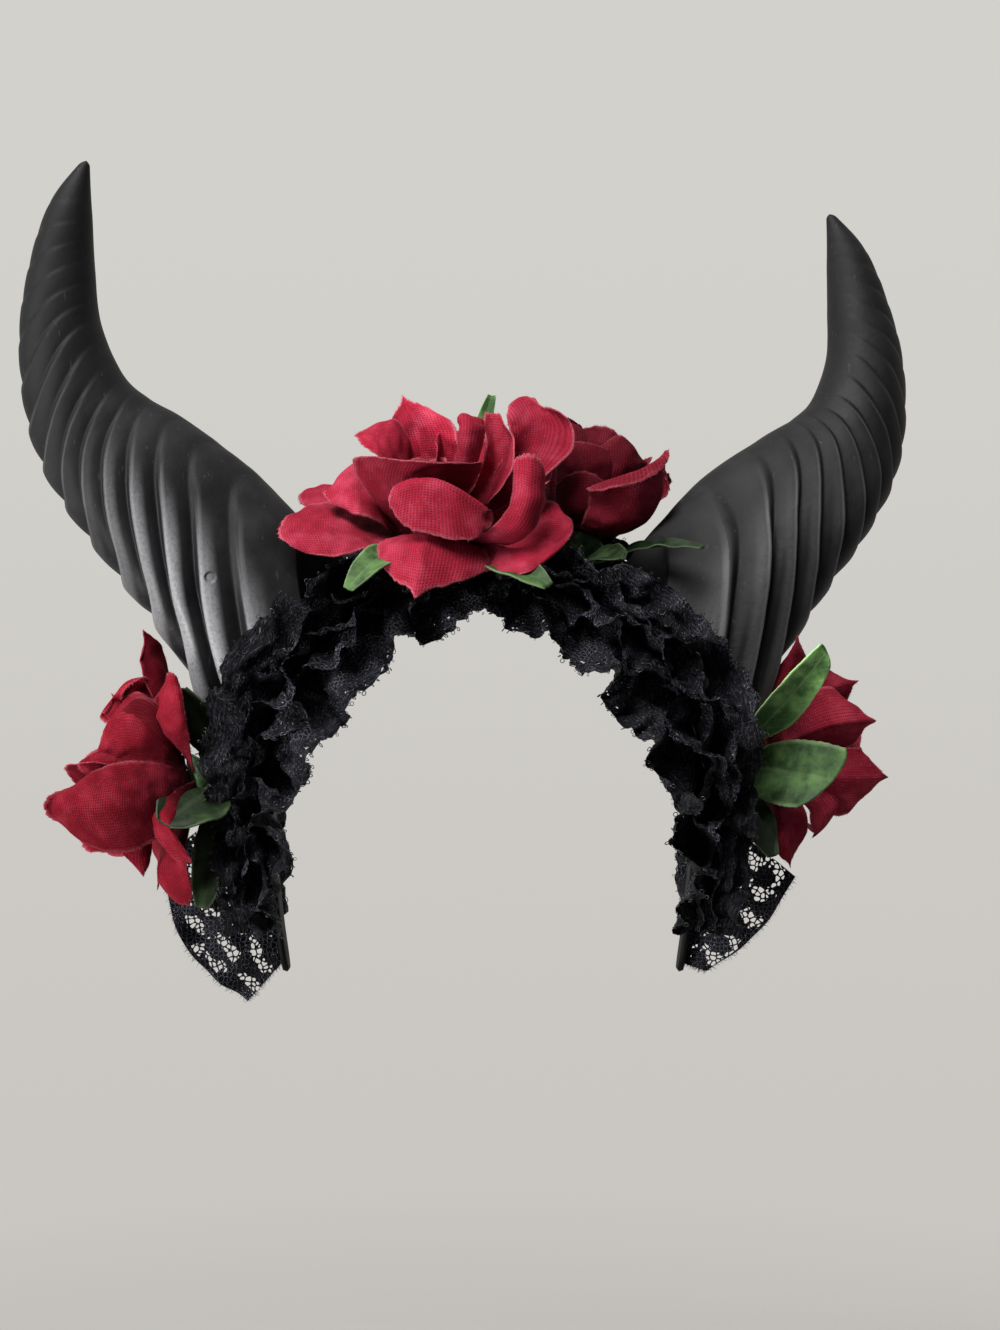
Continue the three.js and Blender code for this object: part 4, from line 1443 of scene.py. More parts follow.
@dataclass(frozen=True)
class Ruffle:
    """A length of lace gathered along one edge of the band, both hems free and puffed.

    Each crumple is a height and a pitch. Spans of shares count from the stitches at 0 to a hem at 1.
    """

    name: str
    way: float
    frill: tuple[FrillRow, ...]
    shift: float
    horn_left: float
    horn_right: float
    seed: int
    flat_width: float
    flat_length: float = 800.0
    end: float = 167.0
    table_end: float = 168.0
    lift: float = 3.4
    seat_half: float = 12.2
    horn_seat: float = 78.0
    horn_seat_reach: float = 44.0
    horn_seat_ease: Span = (0.6, 1.0)
    fold_pitch: float = 30.0
    fold_mix: Span = (0.8, 0.2)
    fold_overtone: float = 1.7
    inner_shift: float = 1.9
    swing: float = 21.0
    bend: Span = (0.7, 1.15)
    scallop: float = 0.15
    pleat_pitch: float = 9.5
    pleat_width: float = 9.0
    pleat_swing: float = 7.0
    pleat_scallop: float = 0.05
    crumples: tuple[Span, ...] = ((1.5, 15.0), (0.7, 6.5))
    crumple_shares: Span = (0.0, 0.35)
    crests: tuple[float, ...] = (-26.0, 0.0, 26.0)
    crest_share: float = 0.66
    crest_swing: float = 18.0
    crest_bend: Span = (0.85, 1.1)
    crest_pleat_swing: float = 8.0
    crest_crumples: tuple[Span, ...] = ((1.3, 13.0), (0.6, 6.0))
    crest_shift: float = 2.6
    crest_step: float = 2.2
    crest_flat: float = 20.0
    crest_pleat_seed: int = 20
    crest_crumple_seeds: tuple[int, int] = (30, 31)
    sprig_pitch: float = 13.0
    sprigs: Span = (-0.3, 0.5)
    sprig_least: float = 0.25
    sprig_seed: int = 7
    eyelet_pitch: float = 4.4
    eyelet_radius: float = 0.8
    eyelet_shares: Span = (0.5, 0.9)
    hem_pitch: float = 6.5
    hem_depth: float = 0.025
    hem_width: float = 20.0
    cord_ring: float = 0.95
    cord_thickness: float = 0.15
    cord_apart: float = 2.0
    cord_density: float = 220000.0
    loop_every: int = 3
    loop_sunk: float = 0.06
    stitch_pitch: float = 4.2
    stitch_margin: float = 4.0
    stitch_lift: float = 0.5
    rows: int = 360
    columns: int = 52

    def build(self, cords: CordTree, loops: SproutTree, stitches: SproutTree) -> None:
        """Makes the ruffle with its cord rings, hem loops and stitches, and seats them."""
        lengths = np.linspace(-self.end, self.end, self.rows)
        length, across = lattice(lengths, np.linspace(-1.0, 1.0, self.columns))
        points = self._gathered(length, across)
        run = np.cumsum(np.linalg.norm(np.diff(points, axis=0, prepend=points[:1]), axis=-1), axis=0)
        run = run - run[self.rows // 2]
        wide = self._halves("", length, across < 0) * across
        skins = [self._openwork(points, np.stack([run, wide], axis=-1), across)]
        length, share = lattice(lengths, np.linspace(0.0, 1.0, self.columns // 2))
        flat = np.stack([run[:, : self.columns // 2], share * self.crest_flat], axis=-1)
        for number, tilt in enumerate(self.crests):
            skins.append(self._openwork(self._crest(length, share, tilt, number), flat, share))
        skin = Skin.joined(skins)
        lace = skin.to_object(f"{self.name}_net", LACE_BLACK)
        seat(lace, "lace_black", self.name)
        cord = skin.to_object(f"{self.name}_cord_rings", CORD_BLACK)
        cords.grow(cord, CORD_BLACK, {
            "Ring": self.cord_ring * MM,
            "Thickness": self.cord_thickness * MM,
            "Apart": self.cord_apart * MM,
            "Density": self.cord_density,
            "Seed": self.seed,
        })
        seat(cord, "lace_black")
        hem = loops.sprout(
            f"{self.name}_hem_loops", self._hems(points), HEM_LOOP, CORD_BLACK, "lace_black", self.seed
        )
        sewn = stitches.sprout(
            f"{self.name}_stitches", self._sewn_line(), GATHER_STITCH, STITCH_BLACK, "lace_black", self.seed
        )

    def _frill(self, column: str, length: Grid) -> Grid:
        """A column of the ruffle's table at lengths along the band."""
        return through(self.frill, column, np.abs(length) / self.table_end)

    def _halves(self, ending: str, length: Grid, inner: Grid) -> Grid:
        """The table's inner column where a point is in the inner half, and its outer column elsewhere."""
        return np.where(inner, self._frill(f"inner{ending}", length), self._frill(f"out{ending}", length))

    def _seat(self, length: Grid) -> Grid:
        """How far the stitched line lies from the middle of the band: further beside a horn."""
        from_horn = np.abs(np.abs(length) - self.horn_seat) / self.horn_seat_reach
        beside = np.where(length < 0, self.horn_left, self.horn_right)
        return beside + (self.seat_half - beside) * smooth(*self.horn_seat_ease, from_horn)

    def _gather(self, length: Grid, shift: Grid) -> Grid:
        """The to and fro of the gathers, from -1 to 1."""
        phase = FULL_TURN * length / self.fold_pitch + shift
        overtone = np.sin(self.fold_overtone * phase + self.fold_overtone * shift)
        return self.fold_mix[0] * np.sin(phase) + self.fold_mix[1] * overtone

    def _pleats(self, length: Grid, across: Grid, seed: int) -> Grid:
        """The small pleats on the wide folds, from -1 to 1."""
        return ripple(np.stack([length, across * self.pleat_width], axis=-1), self.pleat_pitch, seed)

    def _crumpled(
        self, points: Grid, share: Grid, crumples: tuple[Span, ...], seeds: tuple[int, ...]
    ) -> Grid:
        """The points crumpled, more and more away from the stitches.

        Args:
            points: The smooth points.
            share: How far each is from the stitches, 1 at a hem.
            crumples: The height and the pitch of each crumpling.
            seeds: Which pattern each of them is.

        Returns:
            The crumpled points.
        """
        heights = sum(height * ripple(points, pitch, seed) for (height, pitch), seed in zip(crumples, seeds))
        return points + grid_normals(points) * (heights * smooth(*self.crumple_shares, share))[..., None]

    def _gathered(self, length: Grid, across: Grid) -> Grid:
        """Points of the gathered lace, with small pleats and crumples on the wide folds."""
        inner, share = across < 0, np.abs(across)
        wave = self._gather(length, self.shift + np.where(inner, self.inner_shift, 0.0))
        pleat = self._pleats(length, across, self.seed)
        lean = self._halves("_lean", length, inner) + self.swing * wave + self.pleat_swing * pleat * share
        lean = np.radians(lean)
        width = self._halves("", length, inner) * (1 + self.scallop * wave + self.pleat_scallop * pleat)
        along, aside = bent_strip(lean * self.bend[0], lean * self.bend[1], width, share)
        height = self.lift + np.where(inner, -along, along)
        points = BAND.off(length, height, self.way * (self._seat(length) + aside))
        return self._crumpled(points, share, self.crumples, (self.seed + 1, self.seed + 2))

    def _crest(self, length: Grid, share: Grid, tilt: float, number: int) -> Grid:
        """Points of a shorter frill that stands off the stitches between the two halves.

        Args:
            length: Lengths along the band.
            share: Shares of the frill's width, from the stitches out.
            tilt: How far it leans off the middle way, in degrees.
            number: Which of the crests it is.

        Returns:
            The points.
        """
        wave = self._gather(length, self.shift + self.crest_shift + self.crest_step * number)
        pleat = self._pleats(length, share, self.seed + self.crest_pleat_seed + number)
        middle = (self._frill("out_lean", length) + 180 - self._frill("inner_lean", length)) / 2
        lean = np.radians(middle + tilt + self.crest_swing * wave + self.crest_pleat_swing * pleat * share)
        full = 0.5 * (self._frill("out", length) + self._frill("inner", length))
        width = full * self.crest_share * (1 + self.scallop * wave)
        along, aside = bent_strip(lean * self.crest_bend[0], lean * self.crest_bend[1], width, share)
        points = BAND.off(length, self.lift + along, self.way * (self._seat(length) + aside))
        coarse, fine = self.crest_crumple_seeds
        seeds = (self.seed + coarse + number, self.seed + fine)
        return self._crumpled(points, share, self.crest_crumples, seeds)

    def _openwork(self, points: Grid, flat: Grid, across: Grid) -> Skin:
        """Lace cut of a grid: eyelets open towards the hems between the sprigs, and the hems are scalloped.

        Args:
            points: The grid of points.
            flat: Their places on the flat lace.
            across: How far each is from the stitches, 1 at a hem.

        Returns:
            The skin, with how dense the sprigs are as a mark.
        """
        share = np.abs(across)
        sprig = smooth(*self.sprigs, ripple(flat, self.sprig_pitch, self.seed + self.sprig_seed))
        size = self.eyelet_radius * smooth(*self.eyelet_shares, share) * (1 - sprig)
        bows = np.abs(np.sin(flat[..., 0] * math.pi / self.hem_pitch))
        scallops = 1 - self.hem_depth + self.hem_depth * bows
        cloth = np.minimum(hex_rings(flat, self.eyelet_pitch) - size, (scallops - share) * self.hem_width)
        marks = {"sprig": self.sprig_least + (1 - self.sprig_least) * sprig}
        return Skin.from_grid(points, flat, marks).cut(cloth.reshape(-1))

    def _hems(self, points: Grid) -> Rim:
        """Points a little inside both hems, and the ways out of them."""
        hems = [(points[:, -1], points[:, -3]), (points[:, 0], points[:, 2])]
        edges = np.concatenate([edge[:: self.loop_every] for edge, _ in hems])
        aims = np.concatenate([(edge - inner)[:: self.loop_every] for edge, inner in hems])
        return edges - self.loop_sunk * aims, aims

    def _sewn_line(self) -> Rim:
        """Points of the running stitches along the gathers, and the ways along the line."""
        far = self.end - self.stitch_margin
        length = np.arange(-far, far, self.stitch_pitch)
        spots = BAND.off(length, self.lift + self.stitch_lift, self.way * self._seat(length))
        return spots, np.gradient(spots, axis=0)


def hex_rings(flat: Grid, pitch: float) -> Grid:
    """How far each place is from the nearest point of a honeycomb lattice."""
    row_step = pitch * math.sqrt(3)
    nearest = np.full(flat.shape[:-1], FAR_OFF)
    for shift in (0.0, 0.5):
        dx = (flat[..., 0] / pitch + shift + 0.5) % 1.0 - 0.5
        dy = (flat[..., 1] / row_step + shift + 0.5) % 1.0 - 0.5
        nearest = np.minimum(nearest, np.hypot(dx * pitch, dy * row_step))
    return nearest


def cells(flat: Grid, pitch: float, seed: int) -> Grid:
    """Irregular cells, as the threads of a lace make them.

    Args:
        flat: Places on the flat lace, in millimetres.
        pitch: About how far apart the cells are.
        seed: Which of the patterns it is.

    Returns:
        How far each place is from the edge of its cell.
    """
    dice = np.random.default_rng(seed)
    count, stray = 64, 0.42
    jitter = dice.uniform(-stray, stray, (count, count, 2))
    place = flat / pitch
    home = np.floor(place).astype(int)
    first = np.full(place.shape[:-1], FAR_OFF)
    second = first.copy()
    for dx in (-1, 0, 1, 2):
        for dy in (-1, 0, 1, 2):
            i, j = (home[..., 0] + dx) % count, (home[..., 1] + dy) % count
            spot = home + np.array([dx, dy]) + jitter[i, j]
            far = np.linalg.norm(place - spot, axis=-1)
            second = np.where(far < first, first, np.minimum(second, far))
            first = np.minimum(first, far)
    return (second - first) * pitch


RUFFLES = (
    Ruffle("lace_ruffle_front", -1, FRONT_FRILL, 0.4, 22.8, 22.4, seed=41, flat_width=46.0),
    Ruffle("lace_ruffle_back", 1, BACK_FRILL, 2.1, 22.8, 29.0, seed=57, flat_width=36.0),
)


@dataclass(frozen=True)
class Tail:
    """The openwork end of the lace that hangs from a tip of the band, with a frayed hem.

    Spans of shares count from the band at 0 to the hem at 1.
    """

    name: str
    side: float
    hem_low: Place
    hem_top: Place
    seed: int
    start: float = 122.0
    end: float = 182.0
    bulge: float = 5.0
    swell: float = 3.0
    wave_height: float = 1.6
    wave_pitch: float = 17.0
    gap: float = 0.3
    open_share: float = 0.32
    opening_pitch: float = 9.0
    ragged_height: float = 0.4
    ragged_pitch: float = 2.6
    net_thread: float = 0.45
    net_pitch: float = 2.0
    hem_shares: Span = (0.95, 0.985)
    root_shares: Span = (0.12, 0.3)
    root_raggedness: float = 0.06
    ground_slope: float = 2.0
    sprigs: Span = (-0.2, 0.6)
    steps: int = 160

    def build(self, fibres: SproutTree) -> None:
        """Makes the tail with its frayed hem and seats it."""
        u, v = lattice(*[np.linspace(0, 1, self.steps)] * 2)
        off = BAND.thickness + self.gap
        root_top, root_low = (BAND.off(self.side * length, off, 0.0) for length in (self.start, self.end))
        hem_top, hem_low = np.array(self.hem_top, dtype=float), np.array(self.hem_low, dtype=float)
        top = root_top + (hem_top - root_top) * u[..., None]
        low = root_low + (hem_low - root_low) * u[..., None]
        points = top + (low - top) * v[..., None]
        hem = hem_low - hem_top
        outward = unit(-self.side * np.array([hem[2], 0.0, -hem[0]]))
        points = points + outward * (self.swell * np.sin(math.pi * v) * u**2)[..., None]
        points[..., 1] -= self.bulge * np.sin(math.pi * v) * np.sin(math.pi / 2 * u)
        points[..., 1] += self.wave_height * ripple(points[..., [0, 2]], self.wave_pitch, self.seed) * u
        flat = points[..., [0, 2]].copy()
        cloth, ground = self._openings(flat, u)
        skin = Skin.from_grid(points, flat, {"sprig": smooth(*self.sprigs, ground)})
        openwork = skin.cut(cloth.reshape(-1))
        lace = openwork.to_object(f"{self.name}_net", LACE_BLACK)
        seat(lace, "lace_black", self.name)
        rim = np.concatenate([points[-1, ::2], points[::3, -1]])
        inner = np.concatenate([points[-4, ::2], points[::3, -4]])
        fray = fibres.sprout(
            f"{self.name}_fray", (rim, rim - inner), LACE_FRAY, CORD_BLACK, "lace_black", self.seed
        )
        width = np.linalg.norm(top - low, axis=-1).mean()
        skin.area() / width * MM
        openwork.area() * MM * MM

    def _openings(self, flat: Grid, share: Grid) -> tuple[Grid, Grid]:
        """Where the tail has cloth.

        Args:
            flat: Places on the flat lace.
            share: How far each is from the band, 1 at the hem.

        Returns:
            A value above zero where there is cloth, and one above zero where the ground is dense.
        """
        ragged = self.ragged_height * ripple(flat, self.ragged_pitch, self.seed + 2)
        large = ripple(flat, self.opening_pitch, self.seed + 1) + ragged
        ground = np.quantile(large, 1 - self.open_share) - large
        net = self.net_thread - cells(flat, self.net_pitch, self.seed + 3)
        root = 1 - smooth(*self.root_shares, share + self.root_raggedness * large)
        bound = np.maximum(smooth(*self.hem_shares, share), root) - 0.5
        return np.maximum(np.maximum(ground * self.ground_slope, net), bound), ground


TAILS = (
    Tail("lace_tail_left", -1, (-86, -4, -152), (-117, -2, -100), seed=71, start=112.0, swell=8.0),
    Tail("lace_tail_right", 1, (82, -4, -141), (114.5, 4, -107), seed=83),
)


# Roses


class Ring(Enum):
    """A ring of petals: its root's radius, and the leans, length and half width of its unseen petals."""

    OUTER = ("outer", 8.8, 60.0, 82.0, 44.0, 19.0)
    MIDDLE = ("middle", 7.8, 30.0, 46.0, 44.0, 19.0)
    INNER = ("inner", 6.7, 10.0, 18.0, 41.0, 15.0)

    def __init__(
        self, label: str, root: float, root_lean: float, rim_lean: float, length: float, half: float
    ) -> None:
        """Keeps the ring's sizes by name."""
        self.label = label
        self.root = root
        self.root_lean = root_lean
        self.rim_lean = rim_lean
        self.length = length
        self.half = half


@dataclass(frozen=True)
class Petal:
    """A petal in the frame: three points across its belly and three along its rim, in millimetres.

    Left and right are as seen with the rim upwards. Past the rim a flap of cloth turns back by the lip's
    angle in degrees, or forward where it is negative. The rolls bend its sides back. A pointed one is
    folded along its middle.
    """

    ring: Ring
    left: Place
    belly: Place
    right: Place
    rim_left: Place
    rim: Place
    rim_right: Place
    flap: float = 0.0
    lip: float = 0.0
    roll_left: float = 0.5
    roll_right: float = 0.5
    point: float = 0.1
    corner: float = 0.12
    fold_radius: float = 2.2
    cup: float = 0.3
    # Painted light and shade on this petal: brighter where it lies in light, darker where it lies in shadow.
    shade: float = 1.0
    root_half: float = 0.55
    unseen_rim: Span = (0.8, 0.12)
    length_steps: int = 60

    @classmethod
    def unseen(cls, ring: Ring, base: Grid, pose: Grid, around: float, opening: float) -> "Petal":
        """A petal behind the others.

        Args:
            ring: The ring it stands in.
            base: The middle of the ring's root.
            pose: The rose's own axes as columns.
            around: Its place around the ring, in degrees.
            opening: How far the rose is open, from 0 to 1.

        Returns:
            The petal.
        """
        turn = math.radians(around)
        away = pose @ np.array([math.cos(turn), math.sin(turn), 0.0])
        side = pose @ np.array([math.sin(turn), -math.cos(turn), 0.0])
        middle = base + away * ring.root
        places = []
        for lean, share, drop in ((ring.root_lean, 1.0, 0.0), (ring.rim_lean, *cls.unseen_rim)):
            tilt = math.radians(lean * opening)
            along = away * math.sin(tilt) + pose[:, 2] * math.cos(tilt)
            face = pose[:, 2] * math.sin(tilt) - away * math.cos(tilt)
            middle = middle + along * ring.length / 2
            edge = face * cls.cup * ring.half * share - along * drop * ring.length
            aside = side * ring.half * share
            places += [middle + edge - aside, middle, middle + edge + aside]
        return cls(ring, *(tuple(place) for place in places))

    def net(self, base: Grid, facing: Grid) -> Grid:
        """Three rows of three points, at the root, the belly and the rim."""
        belly = (self.left, self.belly, self.right)
        rim = (self.rim_left, self.rim, self.rim_right)
        rows = np.array([belly, rim], dtype=float)
        away = rows[0, 1] - base
        away = unit(away - facing * (away @ facing))
        side = np.cross(facing, away)
        side = side * math.copysign(self.root_half * self.ring.root, side @ (rows[0, 2] - rows[0, 0]))
        root = base + away * self.ring.root
        return np.concatenate([[[root - side, root, root + side]], rows])

    def patch(self, net: Grid, share: Grid, across: Grid) -> Grid:
        """Points of the smooth cloth before the flap, through the net's nine points."""
        t, c = share[..., None], across[..., None]
        bow = (1 - self.point) * c**2 + self.point * np.abs(c)
        rows = [
            middle + c * (right - left) / 2 + bow * ((left + right) / 2 - middle)
            for left, middle, right in net
        ]
        return rows[0] * (2 * t - 1) * (t - 1) + rows[1] * 4 * t * (1 - t) + rows[2] * t * (2 * t - 1)

    def cloth(self, net: Grid, share: Grid, across: Grid) -> tuple[Grid, Grid, float]:
        """The smooth petal with its flap.

        Args:
            net: Its nine points.
            share: Shares of its whole length.
            across: Places across it, from -1 to 1.

        Returns:
            The points, the ways that the cloth faces and the length.
        """
        steps = np.linspace(0, 1, self.length_steps)
        length = np.linalg.norm(np.diff(self.patch(net, steps, 0 * steps), axis=0), axis=1).sum()
        whole = length + self.flap
        t = np.minimum(share * whole / length, 1.0)
        near = 0.02
        along = unit(self.patch(net, t + near, across) - self.patch(net, t - near, across))
        aside = self.patch(net, t, across + near) - self.patch(net, t, across - near)
        face = unit(np.cross(aside, along))
        points = self.patch(net, t, across)
        if self.flap == 0:
            return points, face, whole
        lip = math.radians(self.lip)
        bend = min(self.flap, self.fold_radius * abs(lip))
        past = np.maximum(share * whole - length, 0.0)
        turn = (lip * np.minimum(past / bend, 1.0))[..., None]
        straight = np.maximum(past - bend, 0.0)[..., None]
        ahead = bend / lip * np.sin(turn) + straight * np.cos(turn)
        back = bend / lip * (1 - np.cos(turn)) + straight * np.sin(turn)
        return points + along * ahead - face * back, face * np.cos(turn) + along * np.sin(turn), whole


FRONT_BLOOM = (
    Petal(
        Ring.OUTER, (-45, -37, 15), (-49, -22, 21), (-50, -2, 30),
        (-68, -32, 15), (-72, -24, 20), (-67, -10, 27), roll_left=4.5,
    ),
    Petal(
        Ring.OUTER, (1, -30, 13), (-19, -38, 19), (-36, -29, 16),
        (0, -41, 2), (-23, -51, -3), (-33, -40, 3), point=0.85, shade=0.9,
    ),
    Petal(
        Ring.OUTER, (19, -8, 30), (15, -30, 15), (7, -41, 6),
        (28, -12, 26), (32, -22, 20), (22, -37, 9), roll_right=1.5,
    ),
    Petal(
        Ring.OUTER, (-41, -25, 26), (-41, -14, 35), (-42, -2, 43),
        (-51, -20, 27), (-56, -12, 32), (-54, -4, 36), roll_left=2,
    ),
    Petal(
        Ring.OUTER, (-50, -4, 27), (-49, 5, 31), (-51, 14, 36),
        (-65, 0, 28), (-67, 6, 31), (-67, 13, 33), roll_left=1,
    ),
    Petal(
        Ring.MIDDLE, (-42, -22, 35), (-25, -30, 33), (-4, -24, 35),
        (-45, -30, 45), (-21, -43, 44), (0, -31, 43), flap=2.5, lip=-70, corner=0.05, shade=0.72,
    ),
    Petal(
        Ring.MIDDLE, (-28, -29, 26), (-15, -35, 27), (1, -31, 20),
        (-30, -36, 34), (-15, -45, 37), (3, -41, 26), flap=24, lip=-165, corner=0.28,
    ),
    Petal(
        Ring.MIDDLE, (6, -36, 24), (11, -39, 21), (16, -34, 18),
        (10, -28, 46), (16, -33, 47), (22, -26, 43), roll_right=1, corner=0.04, shade=0.9,
    ),
    Petal(
        Ring.MIDDLE, (2, -19, 29), (10, -19, 27), (18, -18, 29),
        (5, -14, 42), (12, -12, 45), (19, -12, 41),
    ),
    Petal(
        Ring.MIDDLE, (-33, -28, 42), (-30, -21, 48), (-27, -14, 55),
        (-41, -24, 47), (-45, -18, 53), (-38, -12, 57), point=0.5, shade=1.15,
    ),
    Petal(
        Ring.MIDDLE, (-33, -17, 48), (-22, -6, 48), (-9, -19, 49),
        (-34, -10, 58), (-29, -1, 68), (-15, -9, 62), point=0.8, shade=1.4,
    ),
    Petal(
        Ring.MIDDLE, (8, -15, 46), (16, -7, 47), (26, -17, 44),
        (7, -6, 60), (15, 0, 67), (25, -9, 60), flap=3, lip=80, roll_right=3,
    ),
    Petal(
        Ring.INNER, (-9, -27, 50), (-5, -31, 50), (0, -27, 49),
        (-9, -20, 59), (-5, -22, 61), (-1, -20, 59), flap=2, lip=60,
    ),
    Petal(
        Ring.INNER, (0, -17, 42), (4, -15, 37), (9, -31, 39),
        (-1, -10, 59), (4, -8, 61), (8, -17, 58), flap=2, lip=60,
    ),
    Petal(
        Ring.INNER, (-16, -24, 44), (-14, -14, 45), (-9, -20, 45),
        (-17, -18, 52), (-14, -10, 56), (-10, -16, 54),
    ),
)
SECOND_BLOOM = (
    Petal(
        Ring.OUTER, (36, -3, 23), (48, -10, 21), (61, -2, 25),
        (38, -6, 31), (52, -15, 38), (66, -5, 46), flap=10, lip=-150, corner=0.16, shade=1.5,
    ),
    Petal(
        Ring.OUTER, (26, 1, 28), (35, -4, 27), (45, 1, 28),
        (26, 2, 38), (35, -2, 41), (45, 2, 39),
    ),
    Petal(
        Ring.OUTER, (23, 15, 48), (30, 17, 50), (38, 17, 49),
        (25, 17, 56), (30, 19, 61), (35, 19, 58),
    ),
    Petal(
        Ring.OUTER, (58, 12, 37), (63, 18, 34), (63, 8, 29),
        (63, 14, 45), (67, 20, 42), (68, 10, 35), flap=2, lip=60,
    ),
    Petal(
        Ring.MIDDLE, (26, 7, 41), (37, 0, 38), (50, 7, 39),
        (27, 9, 48), (38, 3, 51), (51, 9, 47), flap=1, lip=40,
    ),
    Petal(
        Ring.MIDDLE, (40, 7, 40), (50, 4, 38), (58, 13, 38),
        (42, 9, 51), (51, 8, 53), (58, 15, 46), flap=1, lip=40,
    ),
)
LEFT_BLOOM = (
    Petal(
        Ring.OUTER, (-120, -12, -36), (-117, -6, -34), (-114, 3, -33),
        (-121, -9, -24), (-123, -4, -16), (-118, 1, -20), point=0.5,
    ),
    Petal(
        Ring.OUTER, (-115, -22, -48), (-109, -30, -48), (-104, -31, -45),
        (-116, -20, -37), (-111, -25, -31), (-107, -26, -31), shade=1.25,
    ),
    Petal(
        Ring.OUTER, (-109, -33, -83), (-112, -32, -81), (-117, -28, -80),
        (-102, -31, -94), (-103, -29, -98), (-108, -24, -98), point=0.3, shade=1.2,
    ),
    Petal(
        Ring.OUTER, (-105, -28, -94), (-110, -25, -97), (-116, -19, -99),
        (-102, -25, -107), (-105, -20, -114), (-112, -14, -111), point=0.4, shade=1.1,
    ),
    Petal(
        Ring.MIDDLE, (-124, -29, -93), (-127, -36, -76), (-126, -29, -61),
        (-146, -30, -86), (-150, -36, -76), (-144, -30, -69), flap=4, lip=-70, point=0.3,
    ),
    Petal(
        Ring.MIDDLE, (-121, -27, -68), (-120, -21, -56), (-115, -25, -42),
        (-133, -24, -65), (-134, -18, -54), (-126, -22, -40), flap=1, lip=50, shade=0.55,
    ),
    Petal(
        Ring.MIDDLE, (-116, -18, -86), (-119, -22, -88), (-125, -23, -89),
        (-117, -20, -97), (-121, -22, -103), (-126, -24, -96), point=0.7,
    ),
    Petal(
        Ring.MIDDLE, (-132, -17, -50), (-125, -12, -46), (-118, -9, -43),
        (-135, -16, -45), (-130, -14, -37), (-120, -10, -34), flap=5, lip=-130, shade=1.6,
    ),
    Petal(
        Ring.INNER, (-126, -18, -67), (-122, -24, -54), (-119, -16, -40),
        (-136, -13, -67), (-137, -20, -57), (-130, -14, -41),
    ),
    Petal(
        Ring.INNER, (-132, -24, -68), (-130, -23, -62), (-130, -18, -58),
        (-140, -24, -67), (-143, -24, -63), (-139, -20, -60),
    ),
)
RIGHT_BLOOM = (
    Petal(
        Ring.OUTER, (104, 0, -39), (110, 2, -38), (117, 9, -39),
        (110, 2, -28), (115, 4, -18), (119, 7, -26), point=1.0,
    ),
    Petal(
        Ring.OUTER, (121, 20, -33), (122, 12, -42), (127, 15, -49),
        (130, 20, -35), (139, 16, -36), (135, 15, -45), point=1.0,
    ),
    Petal(
        Ring.OUTER, (130, 8, -76), (123, 2, -81), (118, 4, -81),
        (129, 8, -84), (121, 4, -93), (118, 4, -87), point=1.0,
    ),
    Petal(
        Ring.OUTER, (118, 2, -83), (109, -6, -87), (103, -1, -89),
        (116, 0, -94), (112, -4, -103), (107, -2, -97), point=1.0,
    ),
    Petal(
        Ring.MIDDLE, (122, 10, -39), (125, 2, -52), (131, 9, -61),
        (133, 10, -42), (144, 6, -50), (138, 11, -57), point=1.0,
    ),
    Petal(
        Ring.MIDDLE, (133, 7, -60), (130, 3, -71), (127, 11, -85),
        (139, 7, -61), (149, 8, -71), (138, 13, -83), point=1.0,
    ),
)


@dataclass(frozen=True)
class Wave:
    """A wave pressed into cloth: its height in millimetres, and how often it turns across and along."""

    height: float
    across: float
    along: float

    def at(self, across: Grid, along: Grid, phase: float) -> Grid:
        """Its heights, moved on by a phase."""
        return self.height * np.sin(self.across * across + self.along * along + phase)


